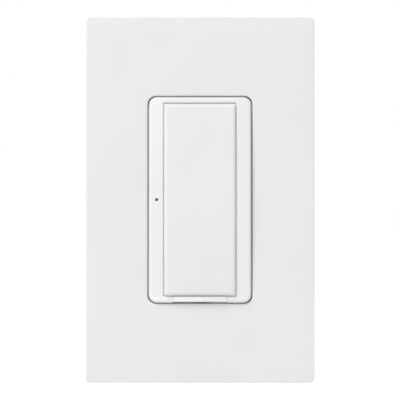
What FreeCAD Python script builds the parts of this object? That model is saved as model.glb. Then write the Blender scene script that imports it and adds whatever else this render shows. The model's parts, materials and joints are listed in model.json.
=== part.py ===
# Smart wall switch: large tap paddle, status light, pull-out service tab and screwless plate.
# X runs to the right as seen from the room, +Y runs into the wall, +Z is up.
# The origin is the middle of the wall plane y = 0, and the front of the switch faces -Y.
import FreeCAD
import Part

import math
import os

V = FreeCAD.Vector
X_AXIS = V(1, 0, 0)
Y_AXIS = V(0, 1, 0)
Z_AXIS = V(0, 0, 1)

# Control face: paddle, bezel and tab
PADDLE_WIDTH = 22.9
PADDLE_HEIGHT = 61.5
PADDLE_CENTRE_Z = 0.1
PADDLE_STANDS_PROUD = 0.9
PADDLE_EDGE_BEVEL = 0.6
PADDLE_CORNER_RADIUS = 0.8
WINDOW_CORNER_RADIUS = 0.25
PADDLE_WALL = 1.5
PADDLE_BACK_Y = -3.3
PADDLE_RIB = 1.0
PADDLE_RIB_COUNT = 4
PADDLE_RIB_SETBACK = 1.2
PIVOT_BELOW_TOP = 3.0
PIVOT_Y = -5.0
PIVOT_RADIUS = 1.0
SIDE_STRIP = 4.75
END_STRIP = 2.15
BEZEL_CORNER_RADIUS = 2.4
BEZEL_DEPTH = 7.8
BEZEL_EDGE_BEVEL = 0.5
BEZEL_WALL = 1.4
BEZEL_WINDOW_WALL = 1.2
CHANNEL_BAYS = 5
CHANNEL_RIB = 1.6
BEZEL_HOOK_Z = 12.0
BEZEL_HOOK_WIDTH = 4.0
BEZEL_HOOK_THICKNESS = 1.0
BEZEL_HOOK_BARB = 0.7
CROWN_RISE = 1.0
SIDE_STRIP_FALL = 0.3
TAB_WIDTH = 17.2
TAB_STANDS_PROUD = 0.25
TAB_THICKNESS = 3.6
TAB_EDGE_BEVEL = 0.2
TAB_STEM_WIDTH = 5.0
TAB_STEM_THICKNESS = 1.0
TAB_STEM_INSET = 0.2
TAB_TRAVEL = 3.2
TAB_STOP_GAP = 0.2
LIGHT_FROM_WINDOW = 2.2
LIGHT_Z = 0.0
LIGHT_TIP_RADIUS = 0.45
LIGHT_ROD_RADIUS = 0.85

# Cover plate, which reaches past the yoke by the margins below
PLATE_SIDE_MARGIN = 3.8
PLATE_END_MARGIN = 4.95
PLATE_DEPTH = 7.6
PLATE_WALL = 1.8
PLATE_CORNER_RADIUS = 1.9
PLATE_SIDE_DRAFT = 0.45
PLATE_FRONT_ROUND = 0.9
PLATE_OPENING_BEVEL = 0.45

# Clearances
PLATE_SIDE_GAP = 0.42
PLATE_END_GAP = 0.32
PADDLE_GAP = 0.25
TAB_GAP = 0.2
SLIDE_GAP = 0.15
SEAT_GAP = 0.05
ADAPTER_OPENING_GAP = 0.5
HOLE_GAP = 0.2
HEAD_GAP = 0.4
BOX_SLOT_GAP = 0.35

# Yoke, the metal strap that carries everything
YOKE_THICKNESS = 1.3
YOKE_FROM_WALL = 0.2
YOKE_BESIDE_HOUSING = 1.0
YOKE_END_INSET = 4.38
YOKE_CORNER_RADIUS = 3.0
FIN_REACH = 9.0
FIN_HEIGHT_INSET = 4.0
FIN_CORNER_RADIUS = 2.0
SCORE_WIDTH = 1.0
SCORE_DEPTH = 0.6
YOKE_SIDE_SEAT = 1.25
YOKE_END_SEAT = 7.15
YOKE_WINDOW_RADIUS = 1.5
BOX_SCREW_FROM_BEZEL = 8.52
PLATE_SCREW_FROM_BOX_SCREW = 6.75
BOX_SLOT_LENGTH = 6.4
BOSS_HEIGHT = 1.6
BOSS_WALL = 1.2

# Screws
BOX_SCREW_RADIUS = 1.75
BOX_SCREW_NECK_RADIUS = 1.45
BOX_SCREW_HEAD_RADIUS = 3.3
BOX_SCREW_HEAD_HEIGHT = 1.8
BOX_SCREW_HEAD_BEVEL = 0.5
BOX_SCREW_LENGTH = 31.75
BOX_SCREW_THREAD_START = 1.2
RETAINER_RADIUS = 3.5
RETAINER_THICKNESS = 1.0
ADAPTER_SCREW_RADIUS = 1.7
ADAPTER_SCREW_HEAD_RADIUS = 2.6
ADAPTER_SCREW_HEAD_HEIGHT = 1.2
ADAPTER_SCREW_LENGTH = 6.5
GROUND_SCREW_EDGE = 7.75
GROUND_SCREW_FROM_HOUSING = 4.5
GROUND_SCREW_RADIUS = 1.75
GROUND_HEAD_RADIUS = 3.4
GROUND_HEAD_HEIGHT = 2.0
GROUND_WIRE_SPACE = 1.4
DRIVE_SLOT_WIDTH = 0.9
DRIVE_SLOT_DEPTH = 0.8

# Plate adapter
ADAPTER_EDGE_GAP = 0.45
ADAPTER_THICKNESS = 2.0
ADAPTER_CORNER_RADIUS = 1.2
ADAPTER_SKIRT_WALL = 1.2
ADAPTER_SKIRT_BACK_Y = -0.2
ADAPTER_LIP_WALL = 1.2
NOTCH_LENGTH = 8.0
NOTCH_DEPTH = 1.9
HOOK_WIDTH = 6.5
HOOK_ROOT_OVERLAP = 0.2
HOOK_THICKNESS = 0.9
HOOK_BARB = 0.7
SIDE_HOOK_Z = 38.0
END_HOOK_X = 20.0
ADAPTER_RELIEF_WIDTH = 10.0
ADAPTER_RELIEF_HEIGHT = 6.0
ADAPTER_RELIEF_RADIUS = 1.5
ADAPTER_RELIEF_X = 20.0

# Rear housing
HOUSING_SIDE_REACH = 5.3
HOUSING_END_REACH = 1.85
HOUSING_WALL = 2.0
HOUSING_CORNER_RADIUS = 3.5
HOUSING_BACK_BEVEL = 1.2
PANEL_WIDTH = 30.0
PANEL_HEIGHT = 44.0
PANEL_RADIUS = 1.5
PANEL_RECESS = 0.4
COLUMN_INSET = 3.6
COLUMN_RADIUS = 3.6
HOUSING_SCREW_RADIUS = 1.25
HOUSING_SCREW_HEAD_RADIUS = 2.3
HOUSING_SCREW_HEAD_HEIGHT = 1.6
HOUSING_SCREW_LENGTH = 9.0

# Side terminals
TERMINAL_SPACING = 28.0
POCKET_DEPTH = 4.5
POCKET_FRONT_Y = 7.0
POCKET_TO_BOARD = 2.0
POCKET_HEIGHT = 12.0
POCKET_WALL = 1.4
TERMINAL_THICKNESS = 1.0
TERMINAL_MARGIN = 0.4
TAIL_WIDTH = 4.0
TAIL_REACH = 0.4
TERMINAL_SCREW_RADIUS = 1.7
TERMINAL_HEAD_RADIUS = 3.7
TERMINAL_HEAD_HEIGHT = 1.8
TERMINAL_WIRE_SPACE = 1.3
TERMINAL_SCREW_TAIL = 1.2

# Circuit boards and what stands on them
BOARD_THICKNESS = 1.6
BOARD_CORNER_RADIUS = 1.0
CONTROL_BOARD_SIDE_MARGIN = 2.75
CONTROL_BOARD_END_MARGIN = 7.0
CONTROL_BOARD_Y = 2.5
BOARD_ROOM_GAP = 2.6
POWER_BOARD_MARGIN = 0.6
POWER_BOARD_FLOOR_SPACE = 4.0
BOARD_POST_RADIUS = 2.0
TACT_FROM_BOARD_END = 4.0
TACT_SIDE = 6.2
TACT_HEIGHT = 3.1
PLUNGER_RADIUS = 1.6
PLUNGER_LENGTH = 3.4
PLUNGER_INSIDE = 1.0
PLUNGER_TRAVEL = 0.75
PLUNGER_CHAMFER = 0.3
ACTUATOR_RADIUS = 1.6
ACTUATOR_GAP = 0.1
STATUS_LED_SIZE = 1.2
STATUS_LED_HEIGHT = 0.7
RADIO_WIDTH = 15.0
RADIO_HEIGHT = 12.0
RADIO_THICKNESS = 2.2
RADIO_Z = 4.0
RADIO_EDGE_BEVEL = 0.3
CHIP_SIDE = 7.0
CHIP_THICKNESS = 1.0
CHIP_Z = 10.0
ANTENNA_STRIP = 1.2
ANTENNA_WIDTH = 20.0
ANTENNA_RISE = 3.0
ANTENNA_FROM_BOARD_END = 6.0
ANTENNA_FOOT_PITCH = 5.0
HEADER_LENGTH = 20.3
HEADER_WIDTH = 2.5
HEADER_FROM_BOARD_END = 6.0
HEADER_PINS = 8
HEADER_PIN_SIDE = 0.6
CAN_EDGE_BEVEL = 0.5
RELAY_WIDTH = 12.7
RELAY_LENGTH = 28.5
RELAY_HEIGHT = 15.7
RELAY_X = -4.5
RELAY_Z = 11.5
BULK_RADIUS = 4.0
BULK_HEIGHT = 14.0
BULK_X = 8.5
BULK_Z = 21.0
FILM_WIDTH = 6.0
FILM_LENGTH = 13.0
FILM_HEIGHT = 11.0
FILM_X = 8.5
FILM_Z = 7.0
CHOKE_RADIUS = 4.0
CHOKE_WAIST_RADIUS = 2.8
CHOKE_HEIGHT = 9.0
CHOKE_X = -9.0
CHOKE_Z = -9.0
VARISTOR_RADIUS = 5.0
VARISTOR_THICKNESS = 3.6
VARISTOR_LEG = 1.5
VARISTOR_X = 8.5
VARISTOR_Z = -8.5
CONTACT_WIDTH = 1.8
CONTACT_THICKNESS = 0.6
CONTACT_X = 3.2
BRIDGE_THICKNESS = 0.6
CARRIAGE_WIDTH = 9.0
CARRIAGE_LENGTH = 2.4
CARRIAGE_RISE = 1.6
SPRING_X = 7.0
SPRING_WIDTH = 3.0
SPRING_THICKNESS = 0.25
SPRING_LENGTH = 4.0

# Sizes and places that follow, from the control face outwards
window_width = PADDLE_WIDTH + 2 * PADDLE_GAP
window_height = PADDLE_HEIGHT + 2 * PADDLE_GAP
bezel_width = window_width + 2 * SIDE_STRIP
bezel_height = window_height + 2 * END_STRIP
plate_opening_width = bezel_width + 2 * PLATE_SIDE_GAP
plate_opening_height = bezel_height + 2 * PLATE_END_GAP
housing_width = bezel_width + 2 * HOUSING_SIDE_REACH
housing_height = bezel_height + 2 * HOUSING_END_REACH
yoke_window_width = bezel_width - 2 * YOKE_SIDE_SEAT
yoke_window_height = bezel_height - 2 * YOKE_END_SEAT
box_screw_z = bezel_height / 2 + BOX_SCREW_FROM_BEZEL
plate_screw_z = box_screw_z + PLATE_SCREW_FROM_BOX_SCREW
yoke_width = housing_width + 2 * YOKE_BESIDE_HOUSING
yoke_height = 2 * (plate_screw_z + YOKE_END_INSET)
fin_span = yoke_width + 2 * FIN_REACH
fin_height = housing_height - 2 * FIN_HEIGHT_INSET
cover_inner_width = fin_span + 2 * PLATE_SIDE_MARGIN
cover_inner_height = yoke_height + 2 * PLATE_END_MARGIN
plate_width = cover_inner_width + 2 * PLATE_WALL
plate_height = cover_inner_height + 2 * PLATE_WALL
adapter_width = cover_inner_width - 2 * ADAPTER_EDGE_GAP
adapter_height = cover_inner_height - 2 * ADAPTER_EDGE_GAP
window_bottom_z = PADDLE_CENTRE_Z - window_height / 2
pivot_z = PADDLE_CENTRE_Z + PADDLE_HEIGHT / 2 - PIVOT_BELOW_TOP
tab_bottom_z = -bezel_height / 2
light_x = -window_width / 2 - LIGHT_FROM_WINDOW
stem_z = window_bottom_z - TAB_STEM_THICKNESS / 2 - TAB_STEM_INSET
contact_z = stem_z + CARRIAGE_RISE / 2
housing_half_width = housing_width / 2
column_x = housing_half_width - COLUMN_INSET
column_z = housing_height / 2 - COLUMN_INSET
pocket_floor_x = housing_half_width - POCKET_DEPTH
pocket_inner_x = pocket_floor_x - POCKET_WALL
terminal_z = TERMINAL_SPACING / 2
tail_inner_x = pocket_inner_x - TAIL_REACH - TERMINAL_THICKNESS
control_board_width = housing_width - 2 * HOUSING_WALL - 2 * CONTROL_BOARD_SIDE_MARGIN
control_board_height = housing_height - 2 * HOUSING_WALL - 2 * CONTROL_BOARD_END_MARGIN
tact_z = TACT_FROM_BOARD_END - control_board_height / 2
antenna_z = control_board_height / 2 - ANTENNA_FROM_BOARD_END
header_z = HEADER_FROM_BOARD_END - control_board_height / 2
post_x = pocket_inner_x - BOARD_POST_RADIUS
post_z = column_z - COLUMN_RADIUS - BOARD_POST_RADIUS
ground_x = GROUND_SCREW_EDGE - yoke_width / 2
ground_z = -housing_height / 2 - GROUND_SCREW_FROM_HOUSING

# Depths, from the room into the wall
plate_front_y = -PLATE_DEPTH
plate_inner_y = plate_front_y + PLATE_WALL
yoke_back_y = -YOKE_FROM_WALL
yoke_front_y = yoke_back_y - YOKE_THICKNESS
adapter_front_y = yoke_front_y - ADAPTER_THICKNESS
bezel_front_y = yoke_front_y - BEZEL_DEPTH
bezel_shoulder_y = bezel_front_y + CROWN_RISE + SIDE_STRIP_FALL + BEZEL_WALL
paddle_front_y = bezel_front_y - PADDLE_STANDS_PROUD
tab_front_y = bezel_front_y - TAB_STANDS_PROUD
tab_back_y = bezel_front_y + CROWN_RISE + TAB_THICKNESS
cross_bar_y = tab_back_y + 2 * TAB_GAP
carriage_y = yoke_back_y + TAB_TRAVEL + TAB_STOP_GAP
carriage_back_y = carriage_y + CARRIAGE_LENGTH
bridge_back_y = carriage_back_y + BRIDGE_THICKNESS
control_back_y = CONTROL_BOARD_Y + BOARD_THICKNESS
power_board_y = control_back_y + BOARD_ROOM_GAP + RELAY_HEIGHT
pocket_back_y = power_board_y - POCKET_TO_BOARD - POCKET_WALL
housing_floor_y = power_board_y + BOARD_THICKNESS + POWER_BOARD_FLOOR_SPACE
housing_back_y = housing_floor_y + HOUSING_WALL
terminal_screw_y = POCKET_FRONT_Y + TERMINAL_MARGIN + TERMINAL_HEAD_RADIUS + HOLE_GAP
tail_y = pocket_back_y - TERMINAL_MARGIN - TERMINAL_THICKNESS
counterbore_y = yoke_front_y + HOUSING_SCREW_LENGTH
tact_front_y = CONTROL_BOARD_Y - TACT_HEIGHT
plunger_front_y = tact_front_y + PLUNGER_INSIDE - PLUNGER_LENGTH


# Shapes used by several pieces

def block(x0, x1, y0, y1, z0, z1):
    return Part.makeBox(x1 - x0, y1 - y0, z1 - z0, V(x0, y0, z0))


def rod(x, z, radius, y0, y1):
    return Part.makeCylinder(radius, y1 - y0, V(x, y0, z), Y_AXIS)


def cone(x, z, radius0, radius1, y0, y1):
    return Part.makeCone(radius0, radius1, y1 - y0, V(x, y0, z), Y_AXIS)


def rounded_outline(width, height, radius, y, x=0.0, z=0.0):
    """A closed rectangle with round corners in the plane at y."""
    hw = width / 2 - radius
    hh = height / 2 - radius
    diagonal = radius * math.sqrt(0.5)
    edges = []
    corners = [(hw, hh, 0), (-hw, hh, 1), (-hw, -hh, 2), (hw, -hh, 3)]
    for i, (cx, cz, quarter) in enumerate(corners):
        a = math.pi / 2 * quarter
        start = V(x + cx + radius * math.cos(a), y, z + cz + radius * math.sin(a))
        mid = V(x + cx + diagonal * (math.cos(a) - math.sin(a)), y,
                z + cz + diagonal * (math.sin(a) + math.cos(a)))
        end = V(x + cx - radius * math.sin(a), y, z + cz + radius * math.cos(a))
        edges.append(Part.Arc(start, mid, end).toShape())
        nx, nz, _ = corners[(i + 1) % 4]
        b = a + math.pi / 2
        following = V(x + nx + radius * math.cos(b), y, z + nz + radius * math.sin(b))
        edges.append(Part.LineSegment(end, following).toShape())
    return Part.Wire(edges)


def rounded_slab(width, height, radius, y0, y1, x=0.0, z=0.0):
    face = Part.Face(rounded_outline(width, height, radius, y0, x, z))
    return face.extrude(V(0, y1 - y0, 0))


def slot_slab(length, radius, y0, y1, x, z):
    """A slot with round ends, long in X."""
    return rounded_slab(length, 2 * radius, radius - 0.001, y0, y1, x, z)


def crowned_block(front_y, back_y):
    """A block over the whole control face, arched from end to end, whose sides fall away."""
    half_tall = bezel_height / 2
    radius = (half_tall ** 2 + CROWN_RISE ** 2) / (2 * CROWN_RISE)
    flat = window_width / 2
    reach = flat + 2 * SIDE_STRIP
    side_y = front_y + 2 * SIDE_STRIP_FALL
    points = [
        V(-reach, side_y, 0), V(-flat, front_y, 0), V(flat, front_y, 0), V(reach, side_y, 0),
        V(reach, back_y, 0), V(-reach, back_y, 0), V(-reach, side_y, 0),
    ]
    face = Part.Face(Part.makePolygon(points))
    half_angle = math.degrees(math.asin(half_tall / radius)) * 1.1
    centre = V(0, front_y + radius, 0)
    face.rotate(centre, X_AXIS, -half_angle)
    return face.revolve(centre, X_AXIS, 2 * half_angle)


def front_edges(shape, limit_y, skip=None):
    """The edges that lie wholly in front of limit_y."""
    found = []
    for edge in shape.Edges:
        box = edge.BoundBox
        if box.YMax < limit_y and not (skip and skip(box)):
            found.append(edge)
    return found


def drive_slot(head, x, y, z, axis, radius):
    """Cuts a driver slot across a screw head that faces along axis from the point."""
    half = DRIVE_SLOT_WIDTH / 2
    if axis == "y":
        cutter = block(x - radius, x + radius, y, y + DRIVE_SLOT_DEPTH, z - half, z + half)
    else:
        cutter = block(x, x + DRIVE_SLOT_DEPTH, y - radius, y + radius, z - half, z + half)
    return head.cut(cutter)


# Pieces seen from the room

def make_cover_plate():
    back = rounded_outline(plate_width, plate_height, PLATE_CORNER_RADIUS, 0)
    inset = 2 * PLATE_SIDE_DRAFT
    front = rounded_outline(plate_width - inset, plate_height - inset,
                            PLATE_CORNER_RADIUS - PLATE_SIDE_DRAFT, plate_front_y)
    shell = Part.makeLoft([back, front], True, True)
    shell = shell.makeFillet(PLATE_FRONT_ROUND, front_edges(shell, plate_front_y + 0.01))
    shell = shell.cut(rounded_slab(cover_inner_width, cover_inner_height,
                                   ADAPTER_CORNER_RADIUS + ADAPTER_EDGE_GAP, plate_inner_y, 1))
    shell = shell.cut(rounded_slab(plate_opening_width, plate_opening_height,
                                   BEZEL_CORNER_RADIUS + PLATE_END_GAP, plate_front_y - 1, 1))
    reach = plate_opening_width
    rim = front_edges(shell, plate_front_y + 0.01,
                      lambda b: abs(b.XMin) > reach / 2 + 0.1 or abs(b.XMax) > reach / 2 + 0.1)
    shell = shell.makeChamfer(PLATE_OPENING_BEVEL, rim)
    hooks = [side_hook(side, z) for side in (-1, 1) for z in (-SIDE_HOOK_Z, 0, SIDE_HOOK_Z)]
    hooks += [end_hook(side, x) for side in (-1, 1) for x in (-END_HOOK_X, END_HOOK_X)]
    return shell.multiFuse(hooks).removeSplitter()


def hook_face(adapter_half_size):
    """The side view of a snap hook that passes an adapter notch and catches behind its edge."""
    inner = adapter_half_size - NOTCH_DEPTH + SLIDE_GAP
    outer = inner + HOOK_THICKNESS
    root_y = plate_inner_y - HOOK_ROOT_OVERLAP
    catch_y = yoke_front_y + SLIDE_GAP
    tip_y = ADAPTER_SKIRT_BACK_Y - SLIDE_GAP
    points = [
        V(outer, root_y, 0), V(outer, tip_y, 0), V(inner, tip_y, 0),
        V(inner - HOOK_BARB, catch_y, 0), V(inner, catch_y, 0), V(inner, root_y, 0),
        V(outer, root_y, 0),
    ]
    return Part.Face(Part.makePolygon(points))


def side_hook(side, z):
    hook = hook_face(adapter_width / 2).extrude(V(0, 0, HOOK_WIDTH))
    hook.translate(V(0, 0, z - HOOK_WIDTH / 2))
    return hook if side > 0 else hook.mirror(V(0, 0, 0), X_AXIS)


def end_hook(side, x):
    hook = hook_face(adapter_height / 2).extrude(V(0, 0, HOOK_WIDTH))
    hook.rotate(V(0, 0, 0), Y_AXIS, -90)
    hook.translate(V(x + HOOK_WIDTH / 2, 0, 0))
    return hook if side > 0 else hook.mirror(V(0, 0, 0), Z_AXIS)


def make_bezel():
    outline = rounded_slab(bezel_width, bezel_height, BEZEL_CORNER_RADIUS, bezel_front_y - 1, yoke_front_y)
    body = outline.common(crowned_block(bezel_front_y, yoke_front_y + 1))
    body = body.makeChamfer(BEZEL_EDGE_BEVEL, front_edges(body, bezel_shoulder_y - BEZEL_WALL + 0.05))
    body = body.cut(rounded_slab(window_width, window_height, WINDOW_CORNER_RADIUS,
                                 bezel_front_y - 1, yoke_front_y + 1, z=PADDLE_CENTRE_Z))
    inner_x = window_width / 2 + BEZEL_WINDOW_WALL
    outer_x = bezel_width / 2 - BEZEL_WALL
    half_z = window_height / 2 - BEZEL_WALL
    bay = 2 * half_z / CHANNEL_BAYS
    for side in (-1, 1):
        x0, x1 = sorted((side * inner_x, side * outer_x))
        for i in range(CHANNEL_BAYS):
            z0 = PADDLE_CENTRE_Z - half_z + i * bay + CHANNEL_RIB / 2
            body = body.cut(block(x0, x1, bezel_shoulder_y, yoke_front_y + 1, z0, z0 + bay - CHANNEL_RIB))
    bore = Part.makeCylinder(PIVOT_RADIUS + SLIDE_GAP, 2 * outer_x, V(-outer_x, PIVOT_Y, pivot_z), X_AXIS)
    body = body.cut(bore)
    notch = TAB_WIDTH / 2 + TAB_GAP
    body = body.cut(block(-notch, notch, bezel_front_y - 1, cross_bar_y,
                          tab_bottom_z - 1, window_bottom_z + 1))
    half_stem = TAB_STEM_WIDTH / 2 + TAB_GAP
    half_thick = TAB_STEM_THICKNESS / 2 + TAB_GAP
    body = body.cut(block(-half_stem, half_stem, cross_bar_y - 1, yoke_front_y + 1,
                          stem_z - half_thick, stem_z + half_thick))
    light_bore = rod(light_x, LIGHT_Z, LIGHT_TIP_RADIUS + SEAT_GAP, bezel_front_y - 1, bezel_shoulder_y + 1)
    body = body.cut(light_bore)
    return body.multiFuse([bezel_hook(side, z) for side in (-1, 1) for z in (-BEZEL_HOOK_Z, BEZEL_HOOK_Z)])


def bezel_hook(side, z):
    """A leg that passes the edge of the yoke's window and catches behind it."""
    edge = yoke_window_width / 2
    outer = edge - SLIDE_GAP
    inner = outer - BEZEL_HOOK_THICKNESS
    catch_y = yoke_back_y + SLIDE_GAP
    points = [
        V(inner, bezel_shoulder_y, 0), V(outer, bezel_shoulder_y, 0), V(outer, catch_y, 0),
        V(outer + BEZEL_HOOK_BARB, catch_y, 0), V(outer, catch_y + BEZEL_HOOK_BARB, 0),
        V(inner, catch_y + BEZEL_HOOK_BARB, 0), V(inner, bezel_shoulder_y, 0),
    ]
    hook = Part.Face(Part.makePolygon(points)).extrude(V(0, 0, BEZEL_HOOK_WIDTH))
    hook.translate(V(0, 0, z - BEZEL_HOOK_WIDTH / 2))
    return hook if side > 0 else hook.mirror(V(0, 0, 0), X_AXIS)


def make_paddle():
    outline = rounded_slab(PADDLE_WIDTH, PADDLE_HEIGHT, PADDLE_CORNER_RADIUS,
                           paddle_front_y - 1, PADDLE_BACK_Y, z=PADDLE_CENTRE_Z)
    body = outline.common(crowned_block(paddle_front_y, PADDLE_BACK_Y + 5))
    limit = paddle_front_y + CROWN_RISE + SIDE_STRIP_FALL
    body = body.makeChamfer(PADDLE_EDGE_BEVEL, front_edges(body, limit))
    cavity_front_y = limit + PADDLE_WALL
    cavity_width = PADDLE_WIDTH - 2 * PADDLE_WALL
    cavity_height = PADDLE_HEIGHT - 2 * PADDLE_WALL
    body = body.cut(rounded_slab(cavity_width, cavity_height, PADDLE_CORNER_RADIUS,
                                 cavity_front_y, PADDLE_BACK_Y + 1, z=PADDLE_CENTRE_Z))
    ribs = [block(-cavity_width / 2, cavity_width / 2, cavity_front_y, PADDLE_BACK_Y - PADDLE_RIB_SETBACK,
                  z - PADDLE_RIB / 2, z + PADDLE_RIB / 2) for z in paddle_rib_places()]
    spine = block(-PADDLE_RIB / 2, PADDLE_RIB / 2, cavity_front_y, PADDLE_BACK_Y - PADDLE_RIB_SETBACK,
                  PADDLE_CENTRE_Z - cavity_height / 2, PADDLE_CENTRE_Z + cavity_height / 2)
    actuator = rod(0, tact_z, ACTUATOR_RADIUS, cavity_front_y, plunger_front_y - ACTUATOR_GAP)
    reach = window_width / 2 + BEZEL_WINDOW_WALL - SLIDE_GAP
    pins = []
    for side in (-1, 1):
        start = V(side * cavity_width / 2, PIVOT_Y, pivot_z)
        pins.append(Part.makeCylinder(PIVOT_RADIUS, reach - cavity_width / 2, start, V(side, 0, 0)))
    return body.multiFuse(ribs + [spine, actuator] + pins).removeSplitter()


def paddle_rib_places():
    pitch = PADDLE_HEIGHT / (PADDLE_RIB_COUNT + 1)
    bottom = PADDLE_CENTRE_Z - PADDLE_HEIGHT / 2
    return [bottom + pitch * (i + 1) for i in range(PADDLE_RIB_COUNT)]


def make_service_tab():
    outline = rounded_slab(bezel_width, bezel_height, BEZEL_CORNER_RADIUS, tab_front_y - 1, tab_back_y)
    body = outline.common(crowned_block(tab_front_y, tab_back_y + 5))
    window = block(-TAB_WIDTH / 2, TAB_WIDTH / 2, tab_front_y - 1, tab_back_y + 1,
                   tab_bottom_z - 1, window_bottom_z)
    body = body.common(window)
    limit = tab_front_y + CROWN_RISE + SIDE_STRIP_FALL + 0.05
    body = body.makeChamfer(TAB_EDGE_BEVEL, front_edges(body, limit))
    half = TAB_STEM_WIDTH / 2
    stem = block(-half, half, tab_back_y - 1, carriage_y + 0.5,
                 stem_z - TAB_STEM_THICKNESS / 2, stem_z + TAB_STEM_THICKNESS / 2)
    half = CARRIAGE_WIDTH / 2
    carriage = block(-half, half, carriage_y, carriage_back_y, stem_z - TAB_STEM_THICKNESS / 2,
                     stem_z + TAB_STEM_THICKNESS / 2 + CARRIAGE_RISE)
    return body.multiFuse([stem, carriage]).removeSplitter()


def make_light_pipe():
    tip_y = bezel_front_y + SIDE_STRIP_FALL * LIGHT_FROM_WINDOW / SIDE_STRIP
    led_y = CONTROL_BOARD_Y - STATUS_LED_HEIGHT
    tip = rod(light_x, LIGHT_Z, LIGHT_TIP_RADIUS, tip_y, bezel_shoulder_y + 1)
    body = rod(light_x, LIGHT_Z, LIGHT_ROD_RADIUS, bezel_shoulder_y + SEAT_GAP, led_y - SEAT_GAP)
    return tip.fuse(body)


# Frame, yoke and screws

def make_plate_adapter():
    flange = rounded_slab(adapter_width, adapter_height, ADAPTER_CORNER_RADIUS, adapter_front_y, yoke_front_y)
    skirt = rounded_slab(adapter_width, adapter_height, ADAPTER_CORNER_RADIUS, yoke_front_y,
                         ADAPTER_SKIRT_BACK_Y)
    skirt_x = adapter_width / 2 - ADAPTER_SKIRT_WALL
    skirt_z = adapter_height / 2 - ADAPTER_SKIRT_WALL
    skirt = skirt.cut(block(-skirt_x, skirt_x, yoke_front_y - 1, 1, -skirt_z, skirt_z))
    opening_width = bezel_width + 2 * ADAPTER_OPENING_GAP
    opening_height = bezel_height + 2 * ADAPTER_OPENING_GAP
    opening_radius = BEZEL_CORNER_RADIUS + ADAPTER_OPENING_GAP
    lip = rounded_slab(opening_width + 2 * ADAPTER_LIP_WALL, opening_height + 2 * ADAPTER_LIP_WALL,
                       opening_radius + ADAPTER_LIP_WALL, plate_inner_y + HOLE_GAP, adapter_front_y)
    body = flange.multiFuse([skirt, lip])
    body = body.cut(rounded_slab(opening_width, opening_height, opening_radius, plate_inner_y - 1, 1))
    cuts = []
    half_notch = NOTCH_LENGTH / 2
    for side in (-1, 1):
        edge = adapter_width / 2
        x0, x1 = sorted((side * (edge - NOTCH_DEPTH), side * (edge + 1)))
        for z in (-SIDE_HOOK_Z, 0, SIDE_HOOK_Z):
            cuts.append(block(x0, x1, adapter_front_y - 1, 1, z - half_notch, z + half_notch))
        edge = adapter_height / 2
        z0, z1 = sorted((side * (edge - NOTCH_DEPTH), side * (edge + 1)))
        for x in (-END_HOOK_X, END_HOOK_X):
            cuts.append(block(x - half_notch, x + half_notch, adapter_front_y - 1, 1, z0, z1))
        cuts.append(rod(0, side * box_screw_z, BOX_SCREW_HEAD_RADIUS + HEAD_GAP, adapter_front_y - 1, 1))
        cuts.append(rod(0, side * plate_screw_z, ADAPTER_SCREW_RADIUS + HOLE_GAP, adapter_front_y - 1, 1))
        cuts.append(cone(0, side * plate_screw_z, ADAPTER_SCREW_HEAD_RADIUS + SLIDE_GAP,
                         ADAPTER_SCREW_RADIUS + HOLE_GAP, adapter_front_y,
                         adapter_front_y + ADAPTER_SCREW_HEAD_HEIGHT + SLIDE_GAP))
        for z in (-1, 1):
            cuts.append(rounded_slab(ADAPTER_RELIEF_WIDTH, ADAPTER_RELIEF_HEIGHT, ADAPTER_RELIEF_RADIUS,
                                     adapter_front_y - 1, yoke_front_y + 1,
                                     side * ADAPTER_RELIEF_X, z * plate_screw_z))
    return body.cut(Part.makeCompound(cuts))


def make_adapter_screws():
    screws = []
    for side in (-1, 1):
        z = side * plate_screw_z
        neck_y = adapter_front_y + ADAPTER_SCREW_HEAD_HEIGHT
        head = cone(0, z, ADAPTER_SCREW_HEAD_RADIUS, ADAPTER_SCREW_RADIUS, adapter_front_y, neck_y)
        shank = rod(0, z, ADAPTER_SCREW_RADIUS, neck_y, adapter_front_y + ADAPTER_SCREW_LENGTH)
        screws.append(drive_slot(head.fuse(shank), 0, adapter_front_y, z, "y", ADAPTER_SCREW_HEAD_RADIUS))
    return Part.makeCompound(screws)


def make_yoke():
    strap = rounded_slab(yoke_width, yoke_height, YOKE_CORNER_RADIUS, yoke_front_y, yoke_back_y)
    fins = rounded_slab(fin_span, fin_height, FIN_CORNER_RADIUS, yoke_front_y, yoke_back_y)
    body = strap.fuse(fins).removeSplitter()
    for side in (-1, 1):
        boss = rod(0, side * plate_screw_z, ADAPTER_SCREW_RADIUS + HOLE_GAP / 2 + BOSS_WALL,
                   yoke_front_y + YOKE_THICKNESS / 2, yoke_back_y + BOSS_HEIGHT)
        body = body.fuse(boss)
    cuts = [rounded_slab(yoke_window_width, yoke_window_height, YOKE_WINDOW_RADIUS, yoke_front_y - 1, 1)]
    cuts.append(rounded_slab(TAB_STEM_WIDTH + 2 * TAB_GAP, TAB_STEM_THICKNESS + 2 * TAB_GAP, TAB_GAP,
                             yoke_front_y - 1, 1, z=stem_z))
    for side in (-1, 1):
        cuts.append(slot_slab(BOX_SLOT_LENGTH, BOX_SCREW_RADIUS + BOX_SLOT_GAP, yoke_front_y - 1, 1,
                              0, side * box_screw_z))
        cuts.append(rod(0, side * plate_screw_z, ADAPTER_SCREW_RADIUS + HOLE_GAP / 2, yoke_front_y - 1,
                        BOSS_HEIGHT + 1))
        for top in (-1, 1):
            cuts.append(rod(side * column_x, top * column_z, HOUSING_SCREW_RADIUS + HOLE_GAP / 2,
                            yoke_front_y - 1, 1))
        cuts.append(score_groove(side * yoke_width / 2))
    cuts.append(rod(ground_x, ground_z, GROUND_SCREW_RADIUS + HOLE_GAP / 2, yoke_front_y - 1, 1))
    return body.cut(Part.makeCompound(cuts))


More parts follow.
